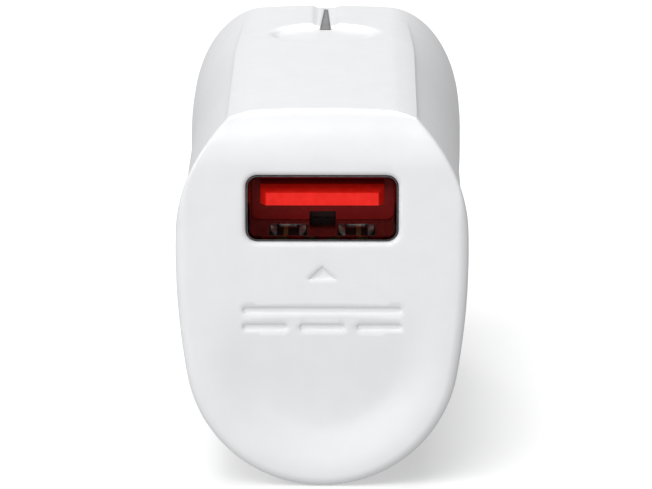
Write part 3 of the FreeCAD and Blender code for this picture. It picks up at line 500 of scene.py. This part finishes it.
def edge_rings(columns, skin, steps=7):
    """The rings that round the face's edge, from the face outwards. Panel columns have one point."""
    starts = {k: skin.row([panel_point(c, FACE_Y + BROW_DEPTH)])[0]
              for k, c in enumerate(columns) if c.panel}
    rings = []
    for step in range(steps + 1):
        angle = math.pi / 2 * step / steps
        ring = []
        for k, c in enumerate(columns):
            if c.panel:
                ring.append(starts[k])
                continue
            radius = edge_radius(c)
            inset = radius * (1 - math.sin(angle))
            x, z = c.x - c.normal[0] * inset, c.z - c.normal[1] * inset
            y = front_y(x, z) + radius * (1 - math.cos(angle))
            ring += skin.row([(c.side * x, y, z)])
        rings.append(ring)
    return rings


def outer_rows(columns, skin):
    """Rows of the outer surface from behind the face's edge to the plug end."""
    rows = []
    lead = 5
    count = len(row_offsets(columns[0]))
    for step in range(1, count + lead):
        points = []
        for c in columns:
            start, offsets = front_start(c), row_offsets(c)
            if step < count:
                y = start + offsets[step]
            else:
                share = (step - count + 1) / lead
                y = start + offsets[-1] + (COMMON_Y - start - offsets[-1]) * share
            points.append(panel_point(c, y) if c.panel else side_point(c, y, start + lip(c)))
        rows.append(skin.row(points))
    for y in row_stations()[1:]:
        rows.append(skin.row([panel_point(c, y) if c.panel else side_point(c, y, front_start(c) + lip(c))
                              for c in columns]))
    rows.append(skin.row([inward(c, 0.05, END_Y - 0.05) for c in columns]))
    rows.append(skin.row([inward(c, 0.15, END_Y) for c in columns]))
    return rows


def inward(column, inset, y):
    """A point of the section moved in by inset. The cavity's roof is flat."""
    if column.panel:
        x, _, z = panel_point(column, y)
        share = min(1.0, inset / WALL)
        return x, y, (z - inset) * (1 - share) + (TOP_Z - CROWN - inset) * share
    x, z, normal = column.at(END_Y)
    return column.side * (x - normal[0] * inset), y, z - normal[1] * inset


def engraving(skin, flat_ring, floor_place):
    """Sinks a closed mark into the face: rounded lip, drafted wall and floor. Returns its outer ring."""
    rings = []
    for grow, depth in ((0.06, 0.0), (0.0, 0.05), (-0.06, 0.17), (-0.14, 0.2)):
        flat = subdivided(flat_ring, grow, 0.4)
        rings.append((skin.row([floor_place(x, z, depth) for x, z in flat]), flat))
    for first, second in zip(rings, rings[1:]):
        skin.strip(first[0], second[0])
    skin.patch([rings[-1]], None)
    return rings[0][0], [unroll(x, z) for x, z in rings[0][1]]


def mark_rings():
    """Outline functions of the generic direct-current symbol and of the small triangle."""
    stroke, length, dash = 0.6, 13.8, 3.9
    bars = [(0.0, -0.75, length)] + [(k * (length - dash) / 2, -2.25, dash) for k in (-1, 0, 1)]

    def bar(x, z, size):
        return lambda grow: rounded_rectangle(
            size / 2 + grow, stroke / 2 + grow, stroke / 2 - 0.03 + grow, (x, z), 4)

    def triangle(grow):
        half_base, base_z, tip_z = 1.2, 2.0, 3.2
        side = math.hypot(half_base, tip_z - base_z)
        inner = half_base * (tip_z - base_z) / (side + half_base)
        centre_z = base_z + inner
        scale = 1 + grow / inner
        points = [(half_base, base_z), (0.0, tip_z), (-half_base, base_z)]
        return [(x * scale, centre_z + (z - centre_z) * scale) for x, z in points]

    return [bar(*place) for place in bars] + [triangle]


def sunk(x, z, depth):
    """The point of the face at x, z, moved in by depth."""
    return x, front_y(x, z) + depth, z


def port_ring(grow, y):
    """The outline of the socket's opening at y, as points and as flat points."""
    def outline(more):
        return rounded_rectangle(PORT_HALF_WIDTH + more, PORT_HALF_HEIGHT + more, PORT_CORNER + more,
                                 (0.0, PORT_Z))

    flat = subdivided(outline, grow, 0.6)
    return [(x, y, z) for x, z in flat], flat


def housing_skin():
    """The case: outer surface, face with marks and socket opening, and the cavity."""
    skin = Skin()
    columns = loop_columns()
    rings = edge_rings(columns, skin)
    rows = rings + outer_rows(columns, skin)
    for first, second in zip(rows, rows[1:]):
        skin.strip(first, second)

    holes = [engraving(skin, ring, sunk) for ring in mark_rings()]
    steps = 6
    port = []
    for k in range(steps + 1):
        angle = math.pi / 2 * k / steps
        points, flat = port_ring(PORT_GAP + PORT_LEAD_IN * (1 - math.sin(angle)),
                                 FACE_Y + PORT_LEAD_IN * (1 - math.cos(angle)))
        port.append((skin.row(points), flat))
    tunnel_points, tunnel_flat = port_ring(PORT_GAP, FACE_Y + FRONT_WALL)
    port.append((skin.row(tunnel_points), tunnel_flat))
    for first, second in zip(port, port[1:]):
        skin.strip(first[0], second[0])
    holes.append((port[0][0], [unroll(x, z) for x, z in port[0][1]]))

    ring_flat = []
    for c, index in zip(columns, rings[0]):
        x, _, z = skin.points[index]
        ring_flat.append((x, BROW_Z + BROW_RADIUS * math.pi / 2) if c.panel else unroll(x, z))
    grid = [(x, s) for x in np.arange(-12.4, 12.5, 0.4) for s in np.arange(-16.2, 19.0, 0.33)]
    skin.patch([(rings[0], ring_flat)] + holes, roll, grid)

    cavity = [skin.row([inward(c, WALL, y) for c in columns]) for y in (END_Y, FACE_Y + FRONT_WALL)]
    skin.strip(rows[-1], cavity[0])
    skin.strip(cavity[0], cavity[1])
    cavity_flat = [(skin.points[k][0], skin.points[k][2]) for k in cavity[1]]
    skin.patch([(cavity[1], cavity_flat), (port[-1][0], tunnel_flat)], None)
    return skin


# ---- slot insert, plug cap, pins and sleeves --------------------------------------------------------
def insert_skin():
    """Wedge that fills the tapered slot, with eased upper edges."""
    skin = Skin()
    rings = []
    for z, inset in ((INSERT_TOP_Z - 1.2, 0.0), (INSERT_TOP_Z - 0.08, 0.0), (INSERT_TOP_Z - 0.03, 0.02),
                     (INSERT_TOP_Z, 0.07)):
        ring = []
        for side, reverse in ((1, False), (-1, True)):
            stations = np.linspace(SLOT_START_Y + 0.03 + inset, SLOT_END_Y - 0.03 - inset, 24)
            edge = [(side * (slot_half(y) - 0.03 - inset), float(y), z) for y in stations]
            ring += edge[::-1] if reverse else edge
        rings.append(skin.row(ring))
    for first, second in zip(rings, rings[1:]):
        skin.strip(first, second)
    for ring in (rings[0], rings[-1]):
        half = len(ring) // 2
        skin.strip(ring[:half], ring[half:][::-1], closed=False)
    return skin


def cap_ring(columns, inset, y):
    """The case's far section moved in by inset, cut off flat just below the top panel."""
    top = TOP_Z - CAP_DROP + CAP_INSET - inset
    ring = []
    for c in columns:
        x, z, normal = (c.x, TOP_Z - crown_drop(c.x), c.normal) if c.panel else c.at(END_Y)
        ring.append((c.side * (x - normal[0] * inset), y, min(top, z - normal[1] * inset)))
    return ring


def lathe(skin, profile, z, count=64):
    """Rings round a pin's axis, from (radius, y) pairs."""
    turns = [2 * math.pi * k / count for k in range(count)]
    rings = [skin.row([(radius * math.cos(a), y, z + radius * math.sin(a)) for a in turns])
             for radius, y in profile]
    for first, second in zip(rings, rings[1:]):
        skin.strip(first, second)
    return rings


def pin_skin(z):
    """Turned pin: collar inside the cap, thin shank, bare end with two fine lines and a domed tip."""
    profile = [(0.001, PIN_TAIL_Y), (SHANK_RADIUS - 0.1, PIN_TAIL_Y), (SHANK_RADIUS, PIN_TAIL_Y + 0.1),
               (SHANK_RADIUS, -4.9), (COLLAR_RADIUS - 0.1, -4.9), (COLLAR_RADIUS, -4.8),
               (COLLAR_RADIUS, -4.1), (COLLAR_RADIUS - 0.1, -4.0), (SHANK_RADIUS, -4.0),
               (SHANK_RADIUS, SLEEVE_END_Y),
               (PIN_RADIUS - 0.12, SLEEVE_END_Y), (PIN_RADIUS - 0.035, SLEEVE_END_Y + 0.035),
               (PIN_RADIUS, SLEEVE_END_Y + 0.12)]
    for y in (SLEEVE_END_Y + 0.7, SLEEVE_END_Y + 1.0):
        profile += [(PIN_RADIUS, y), (PIN_RADIUS - 0.04, y + 0.04), (PIN_RADIUS - 0.04, y + 0.08),
                    (PIN_RADIUS, y + 0.12)]
    profile += [(PIN_RADIUS, y) for y in np.linspace(SLEEVE_END_Y + 1.6, PIN_END_Y - 1.7, 6)]
    for step in range(13):
        angle = math.pi / 2 * step / 12
        profile.append((PIN_RADIUS - 1.6 * (1 - math.cos(angle)), PIN_END_Y - 1.6 * (1 - math.sin(angle))))
    skin = Skin()
    lathe(skin, profile + [(0.001, PIN_END_Y)], z)
    return skin


def sleeve_skin(z):
    """Insulating sleeve with a raised foot and a raised end."""
    foot, waist = SLEEVE_RADIUS, SLEEVE_RADIUS - 0.05
    profile = [(SHANK_RADIUS, -0.28), (foot, -0.28), (foot, 0.75), (foot - 0.02, 0.83), (waist, 0.9)]
    profile += [(waist, y) for y in np.linspace(1.5, SLEEVE_END_Y - 1.6, 6)]
    profile += [(waist, SLEEVE_END_Y - 1.1), (foot - 0.02, SLEEVE_END_Y - 1.03),
                (foot, SLEEVE_END_Y - 0.95), (foot, SLEEVE_END_Y - 0.12),
                (foot - 0.035, SLEEVE_END_Y - 0.035), (foot - 0.12, SLEEVE_END_Y),
                (SHANK_RADIUS, SLEEVE_END_Y), (SHANK_RADIUS, -0.28)]
    skin = Skin()
    lathe(skin, profile, z)
    return skin


def pin_hole(skin, z):
    """Round recess in the cap's end face and the bore for the pin, outermost ring first."""
    return lathe(skin, [(2.75, 0.0), (2.66, -0.03), (2.6, -0.12), (2.6, -0.3), (1.75, -0.3), (1.62, -0.4),
                        (1.62, END_Y)], z)


def cap_skin():
    """Plug cap: skirt inside the case, rounded outer edge, flat end face with two recessed pins."""
    skin = Skin()
    columns = [c for c in loop_columns() if not c.follows]
    skirt = SKIRT_INSET + SKIRT_WALL
    profile = [(skirt, END_Y), (skirt, SKIRT_START_Y + 0.15), (skirt - 0.15, SKIRT_START_Y),
               (SKIRT_INSET + 0.25, SKIRT_START_Y), (SKIRT_INSET, SKIRT_START_Y + 0.25),
               (SKIRT_INSET, END_Y),
               (CAP_INSET + 0.15, END_Y), (CAP_INSET + 0.04, END_Y + 0.04), (CAP_INSET, END_Y + 0.15)]
    for step in range(1, 13):
        angle = math.pi / 2 * step / 12
        profile.append((CAP_INSET + CAP_ROUND * (1 - math.cos(angle)),
                        (END_Y + 0.4) * (1 - math.sin(angle))))
    rings = [skin.row(cap_ring(columns, inset, y)) for inset, y in profile]
    for first, second in zip(rings, rings[1:]):
        skin.strip(first, second)

    def flat(ring):
        return [(skin.points[k][0], skin.points[k][2]) for k in ring]

    bores = [pin_hole(skin, side * PIN_HALF_SPACING) for side in (-1, 1)]
    skin.patch([(rings[0], flat(rings[0]))] + [(b[-1], flat(b[-1])) for b in bores], None)
    skin.patch([(rings[-1], flat(rings[-1]))] + [(b[0], flat(b[0])) for b in bores],
               lambda x, z: (x, 0.0, z),
               [(x, z) for x in np.arange(-9, 9.5, 1.0) for z in np.arange(-13, 14, 1.0)])
    return skin


# ---- springs of the USB socket ---------------------------------------------------------------------
def spring_half(y, crest):
    """Half width of the spring: narrow arm, boat-shaped head."""
    if y >= crest + 1.2:
        return SPRING_ARM_HALF
    if y >= crest:
        return SPRING_HEAD_HALF + (SPRING_ARM_HALF - SPRING_HEAD_HALF) * smooth((y - crest) / 1.2)
    share = (crest - y) / (crest - SPRING_LOW.y)
    return 0.35 + (SPRING_HEAD_HALF - 0.35) * math.sqrt(max(0.0, 1 - share**2))


def spring_skin(side):
    """Spring finger with a crest near its free end and a wide head whose ears turn up."""
    skin = Skin()
    tip, root = SPRING_LOW.y, SPRING_HIGH.y
    low, rise = SPRING_LOW.z, SPRING_HIGH.z - SPRING_LOW.z - SPRING_SHEET - 0.2
    crest = tip + 1.5
    upper, lower = [], []
    for y in list(np.linspace(tip, crest + 1.2, 22)) + list(np.linspace(crest + 1.6, root, 8)):
        half = spring_half(y, crest)
        if y < crest:
            height = rise * smooth((y - tip) / (crest - tip) * 0.9 + 0.1)
        else:
            height = rise * (1 - smooth((y - crest) / (root - 0.6 - crest)))
        points = []
        for u in np.linspace(-1, 1, 17):
            ear = 0.3 * smooth((abs(u) * half - 0.95) / 0.35) * smooth((y - crest + 0.5) / 0.45)
            points.append((side * SPRING_X + u * half, float(y), low + height + ear))
        upper.append(skin.row([(x, y, z + SPRING_SHEET) for x, y, z in points]))
        lower.append(skin.row(points))
    for rows in (upper, lower):
        for first, second in zip(rows, rows[1:]):
            skin.strip(first, second, closed=False)
    for edge in (0, -1):
        skin.strip([row[edge] for row in upper], [row[edge] for row in lower], closed=False)
        skin.strip(upper[edge], lower[edge], closed=False)
    return skin


# ---- materials -----------------------------------------------------------------------------------
def principled(name, **values):
    """A node material whose uniform values sit on the shader's own sockets."""
    material = bpy.data.materials.new(name)
    material.use_nodes = True
    shader = material.node_tree.nodes["Principled BSDF"]
    for socket, value in values.items():
        shader.inputs[socket.replace("_", " ")].default_value = value
    return material, material.node_tree, shader


def noise(tree, scale, stretch=(1, 1, 1), detail=2.0):
    """Noise in the object's own space."""
    where = tree.nodes.new("ShaderNodeTexCoord")
    mapping = tree.nodes.new("ShaderNodeMapping")
    mapping.inputs["Scale"].default_value = stretch
    texture = tree.nodes.new("ShaderNodeTexNoise")
    texture.inputs["Scale"].default_value = scale
    texture.inputs["Detail"].default_value = detail
    tree.links.new(where.outputs["Object"], mapping.inputs["Vector"])
    tree.links.new(mapping.outputs["Vector"], texture.inputs["Vector"])
    return texture.outputs["Fac"]


def tint(tree, shader, fac, dark, light):
    """Base colour that wanders between two tones."""
    ramp = tree.nodes.new("ShaderNodeValToRGB")
    ramp.color_ramp.elements[0].position = 0.3
    ramp.color_ramp.elements[1].position = 0.7
    ramp.color_ramp.elements[0].color = (*dark, 1)
    ramp.color_ramp.elements[1].color = (*light, 1)
    tree.links.new(fac, ramp.inputs["Fac"])
    tree.links.new(ramp.outputs["Color"], shader.inputs["Base Color"])


def spread(tree, shader, fac, low, high):
    """Roughness that wanders between two values."""
    change = tree.nodes.new("ShaderNodeMapRange")
    change.inputs["From Min"].default_value = 0.3
    change.inputs["From Max"].default_value = 0.7
    change.inputs["To Min"].default_value = low
    change.inputs["To Max"].default_value = high
    tree.links.new(fac, change.inputs["Value"])
    tree.links.new(change.outputs["Result"], shader.inputs["Roughness"])


def bump(tree, shader, fac, strength, distance):
    """Fine relief in the shading."""
    node = tree.nodes.new("ShaderNodeBump")
    node.inputs["Strength"].default_value = strength
    node.inputs["Distance"].default_value = distance
    tree.links.new(fac, node.inputs["Height"])
    tree.links.new(node.outputs["Normal"], shader.inputs["Normal"])


def finish(name, dark, light, rough, scale=900, grain=0.15, stretch=(1, 1, 1), **values):
    """A material with wandering colour, wandering roughness and a fine grain."""
    material, tree, shader = principled(name, **values)
    tint(tree, shader, noise(tree, scale * 0.3, stretch), dark, light)
    spread(tree, shader, noise(tree, scale, stretch), *rough)
    bump(tree, shader, noise(tree, scale * 3, stretch, 3.0), grain, 0.00002)
    return material


def across(tree, shader, axis, low, high):
    """Multiplies the base colour by tones set out along one axis of the part, given in millimetres."""
    where = tree.nodes.new("ShaderNodeTexCoord")
    split = tree.nodes.new("ShaderNodeSeparateXYZ")
    absolute = tree.nodes.new("ShaderNodeMath")
    absolute.operation = "ABSOLUTE"
    span = tree.nodes.new("ShaderNodeMapRange")
    ramp = tree.nodes.new("ShaderNodeValToRGB")
    mix = tree.nodes.new("ShaderNodeMix")
    mix.data_type = "RGBA"
    mix.blend_type = "MULTIPLY"
    mix.inputs["Factor"].default_value = 1.0
    span.inputs["From Min"].default_value = low * MM
    span.inputs["From Max"].default_value = high * MM
    tree.links.new(where.outputs["Object"], split.inputs[0])
    tree.links.new(split.outputs[axis], absolute.inputs[0])
    tree.links.new(absolute.outputs[0], span.inputs["Value"])
    tree.links.new(span.outputs["Result"], ramp.inputs["Fac"])
    tree.links.new(shader.inputs["Base Color"].links[0].from_socket, mix.inputs["A"])
    tree.links.new(ramp.outputs["Color"], mix.inputs["B"])
    tree.links.new(mix.outputs["Result"], shader.inputs["Base Color"])
    return ramp.color_ramp


def white_plastic():
    """Satin white of the case."""
    return finish("white_plastic", (0.795, 0.800, 0.810), (0.815, 0.820, 0.828), (0.30, 0.38),
                  scale=1500, grain=0.10, IOR=1.46, Coat_Weight=0.15, Coat_Roughness=0.2)


def red_plastic():
    """Bright red at the tongue's front, darkened towards the back of the socket as painted shade."""
    material = finish("red_plastic", (0.86, 0.010, 0.005), (0.95, 0.018, 0.010), (0.34, 0.5),
                      scale=5000, grain=0.5, IOR=1.4, Specular_IOR_Level=0.25)
    tree = material.node_tree
    ramp = across(tree, tree.nodes["Principled BSDF"], "Y", -FACE_Y - 9.2, -FACE_Y - 1.0)
    # Painted shade: the red fades to near black towards the back of the socket.
    ramp.elements[0].color = (0.03, 0.02, 0.02, 1)
    ramp.elements[1].color = (1, 1, 1, 1)
    ramp.elements.new(0.1).color = (0.5, 0.4, 0.4, 1)
    return material


def shell_steel():
    """Dark polished steel, drawn along the socket, with the front rim darkened as a painted dark reflection.
    """
    material = finish("shell_steel", (0.20, 0.20, 0.205), (0.34, 0.34, 0.345), (0.10, 0.24),
                      scale=4000, grain=0.3, stretch=(1, 0.15, 1), Metallic=1.0)
    tree = material.node_tree
    ramp = across(tree, tree.nodes["Principled BSDF"], "Y", -FACE_Y - 0.85, -FACE_Y - 0.55)
    ramp.elements[0].color = (1, 1, 1, 1)
    # Painted dark reflection: the front rim is darkened to 0.22 of the steel tone.
    ramp.elements[1].color = (0.22, 0.22, 0.22, 1)
    return material


def spring_steel():
    """Spring strip darkened as painted shade, with the ear tips left at full tone as painted highlights and
    a gold-plated stripe down each spring's middle.
    """
    material = finish("spring_steel", (0.42, 0.415, 0.41), (0.58, 0.57, 0.56), (0.34, 0.48),
                      scale=4000, grain=0.3, Metallic=1.0)
    tree = material.node_tree
    ramp = across(tree, tree.nodes["Principled BSDF"], "X", SPRING_X - 1.0, SPRING_X + 1.0)
    ramp.interpolation = "CONSTANT"
    ramp.elements[0].color = (1, 1, 1, 1)
    ramp.elements[1].position = 0.99
    ramp.elements[1].color = (1, 1, 1, 1)
    # Painted shade and highlights: the strip is darkened to 0.1 between the ear tips, which keep full tone
    # as painted highlights.
    for position, tone in ((0.02, (0.1, 0.1, 0.1, 1)), (0.5, (0.9, 0.62, 0.28, 1)),
                           (0.7, (0.1, 0.1, 0.1, 1))):
        ramp.elements.new(position).color = tone
    return material


RECIPES = {
    "cap_plastic": ((0.78, 0.785, 0.79), (0.80, 0.805, 0.81), (0.34, 0.44), {}),
    "pin_metal": ((0.60, 0.58, 0.55), (0.72, 0.70, 0.67), (0.14, 0.26), {"Metallic": 1.0}),
    "sleeve_plastic": ((0.022, 0.022, 0.024), (0.034, 0.034, 0.037), (0.38, 0.5), {}),
    "wire_insulation": ((0.05, 0.14, 0.42), (0.07, 0.18, 0.5), (0.4, 0.5), {}),
    "grey_plastic": ((0.13, 0.13, 0.132), (0.155, 0.155, 0.157), (0.5, 0.62), {}),
    # contact_gold is gold darkened to about half as painted shade, for the contacts under the tongue.
    "contact_gold": ((0.32, 0.22, 0.07), (0.42, 0.30, 0.11), (0.2, 0.32), {"Metallic": 1.0}),
    "board": ((0.008, 0.055, 0.02), (0.014, 0.08, 0.03), (0.35, 0.5), {}),
    "ferrite": ((0.03, 0.03, 0.032), (0.06, 0.06, 0.063), (0.55, 0.75), {}),
    "bobbin_plastic": ((0.03, 0.03, 0.03), (0.045, 0.045, 0.045), (0.45, 0.6), {}),
    "copper_wire": ((0.55, 0.18, 0.06), (0.72, 0.28, 0.1), (0.25, 0.4), {"Metallic": 0.85}),
    "tape": ((0.75, 0.55, 0.06), (0.84, 0.64, 0.1), (0.3, 0.45), {}),
    "tinned_copper": ((0.6, 0.6, 0.61), (0.76, 0.76, 0.77), (0.25, 0.4), {"Metallic": 1.0}),
    "can_sleeve": ((0.02, 0.03, 0.09), (0.03, 0.045, 0.13), (0.25, 0.35), {}),
    "chip_epoxy": ((0.015, 0.015, 0.016), (0.026, 0.026, 0.028), (0.5, 0.65), {}),
    "resistor_body": ((0.2, 0.3, 0.2), (0.26, 0.37, 0.26), (0.45, 0.6), {}),
    "disc_ceramic": ((0.05, 0.17, 0.45), (0.07, 0.22, 0.55), (0.25, 0.35), {}),
    "chip_ceramic": ((0.45, 0.34, 0.22), (0.55, 0.43, 0.3), (0.45, 0.6), {}),
    "film": ((0.72, 0.7, 0.6), (0.78, 0.76, 0.68), (0.25, 0.4), {}),
    "silicone": ((0.34, 0.36, 0.4), (0.4, 0.42, 0.47), (0.55, 0.7), {}),
}

materials = {"white_plastic": white_plastic(), "red_plastic": red_plastic(), "shell_steel": shell_steel(),
             "spring_steel": spring_steel()}
for slot_name, (dark_tone, light_tone, rough_range, extra) in RECIPES.items():
    materials[slot_name] = finish(slot_name, dark_tone, light_tone, rough_range, **extra)


# ---- CAD nodes that stay -------------------------------------------------------------------------
def soften(node, width, segments=2):
    """Rounded edges on a CAD node, without touching its mesh."""
    weld = node.modifiers.new("weld", "WELD")
    weld.merge_threshold = 1e-6
    bevel = node.modifiers.new("bevel", "BEVEL")
    bevel.width = width * MM
    bevel.segments = segments
    bevel.limit_method = "ANGLE"
    bevel.angle_limit = math.radians(35)
    normals = node.modifiers.new("normals", "WEIGHTED_NORMAL")
    normals.keep_sharp = True


for part in frame["record"]["subparts"]:
    cad = frame["nodes"][part["node"]]
    cad.data.materials.clear()
    cad.data.materials.append(materials[part["material_slot"]])

soften(frame["nodes"]["port_shell"], 0.12, 4)
soften(frame["nodes"]["port_tongue"], 0.08)
for contact in ("contact_power", "contact_data_minus", "contact_data_plus", "contact_ground"):
    soften(frame["nodes"][contact], 0.04)


def piece(name, skin, slot, node, body=BODY, sharp=40):
    """Builds a skin in its slot's material, in place of a CAD node."""
    skin.build(name, materials[slot], slot, body, [node], sharp)


piece("case", housing_skin(), "white_plastic", "housing", sharp=50)
piece("insert", insert_skin(), "grey_plastic", "slot_insert")
piece("cap", cap_skin(), "cap_plastic", "plug_cap")
for suffix, pin_z in (("line", PIN_HALF_SPACING), ("neutral", -PIN_HALF_SPACING)):
    piece("plug_pin_" + suffix, pin_skin(pin_z), "pin_metal", "pin_" + suffix)
    piece("sleeve_" + suffix, sleeve_skin(pin_z), "sleeve_plastic", "pin_sleeve_" + suffix)
for suffix, side in (("left", -1), ("right", 1)):
    piece("spring_" + suffix, spring_skin(side), "spring_steel", "port_spring_" + suffix,
          "port_spring_" + suffix)


# ---- stage, light and camera ---------------------------------------------------------------------
FLOOR_RADIUS = 12.0         # metres
LIGHTS_AIM = (0, -0.03, 0)  # metres
CAMERA_RIGHT = 3.66         # millimetres, as the next two
CAMERA_BACK = 518.3         # from the USB face
CAMERA_UP = 111.3
CAMERA_YAW = -0.367         # degrees
CAMERA_PITCH = 11.58        # degrees below the horizon
CAMERA_LENS = 338.0


def floor():
    """Pale floor that only the camera sees."""
    mesh = bpy.data.meshes.new("floor")
    disc = bmesh.new()
    bmesh.ops.create_circle(disc, cap_ends=True, segments=96, radius=FLOOR_RADIUS)
    disc.to_mesh(mesh)
    disc.free()
    ground = bpy.data.objects.new("floor", mesh)
    ground.location.z = CASE_LOW.z * MM
    material, _, _ = principled("floor_white", Roughness=0.9, Base_Color=(0.9, 0.9, 0.9, 1),
                                  Emission_Color=(1, 1, 1, 1), Emission_Strength=0.2)
    mesh.materials.append(material)
    bpy.context.scene.collection.objects.link(ground)
    ground.visible_diffuse = False
    ground.visible_glossy = False
    ground.visible_shadow = False


def softbox(name, place, size, power):
    """Square area light that looks at the object's middle."""
    light = bpy.data.lights.new(name, "AREA")
    light.shape = "SQUARE"
    light.size = size
    light.energy = power
    lamp = bpy.data.objects.new(name, light)
    lamp.location = place
    lamp.rotation_euler = (Vector(LIGHTS_AIM) - Vector(place)).to_track_quat("-Z", "Y").to_euler()
    lamp.visible_camera = False
    bpy.context.scene.collection.objects.link(lamp)


def sky():
    """Soft light from all round, nearly even, a little brighter from below and from the left."""
    world = bpy.data.worlds.new("sky")
    world.use_nodes = True
    tree = world.node_tree
    where = tree.nodes.new("ShaderNodeTexCoord")
    lean = tree.nodes.new("ShaderNodeVectorMath")
    lean.operation = "DOT_PRODUCT"
    lean.inputs[1].default_value = (-0.45, 0.0, -0.9)
    ramp = tree.nodes.new("ShaderNodeValToRGB")
    ramp.color_ramp.elements[0].position = 0.35
    ramp.color_ramp.elements[0].color = (0.45, 0.45, 0.453, 1)
    ramp.color_ramp.elements[1].position = 0.95
    ramp.color_ramp.elements[1].color = (0.49, 0.49, 0.493, 1)
    share = tree.nodes.new("ShaderNodeMapRange")
    share.inputs["From Min"].default_value = -1.0
    tree.links.new(where.outputs["Generated"], lean.inputs[0])
    tree.links.new(lean.outputs["Value"], share.inputs["Value"])
    tree.links.new(share.outputs["Result"], ramp.inputs["Fac"])
    tree.links.new(ramp.outputs["Color"], tree.nodes["Background"].inputs["Color"])
    bpy.context.scene.world = world


def camera():
    """Long lens in front of the USB face, looking a little down."""
    data = bpy.data.cameras.new("camera")
    data.sensor_width = 36.0
    data.lens = CAMERA_LENS
    data.clip_start, data.clip_end = 0.01, 40.0
    viewer = bpy.data.objects.new("camera", data)
    viewer.location = Vector((CAMERA_RIGHT, FACE_Y - CAMERA_BACK, CAMERA_UP)) * MM
    yaw, pitch = math.radians(CAMERA_YAW), math.radians(CAMERA_PITCH)
    forward = Vector((math.sin(yaw) * math.cos(pitch), math.cos(yaw) * math.cos(pitch), -math.sin(pitch)))
    viewer.rotation_euler = forward.to_track_quat("-Z", "Y").to_euler()
    bpy.context.scene.collection.objects.link(viewer)
    bpy.context.scene.camera = viewer


floor()
sky()
softbox("key", (-0.36, -1.1, 1.12), 0.8, 6.1)
softbox("steep", (-0.25, -0.6, 1.45), 0.8, 4.0)
softbox("top", (-0.1, 0.25, 1.5), 1.0, 2.0)
softbox("front", (-0.35, -1.7, 0.2), 1.2, 7.6)
softbox("left", (-1.3, -0.6, 0.75), 0.8, 5.7)
softbox("back", (0.0, 1.2, 1.1), 0.8, 8.6)
camera()
bpy.context.scene.view_settings.view_transform = "Standard"
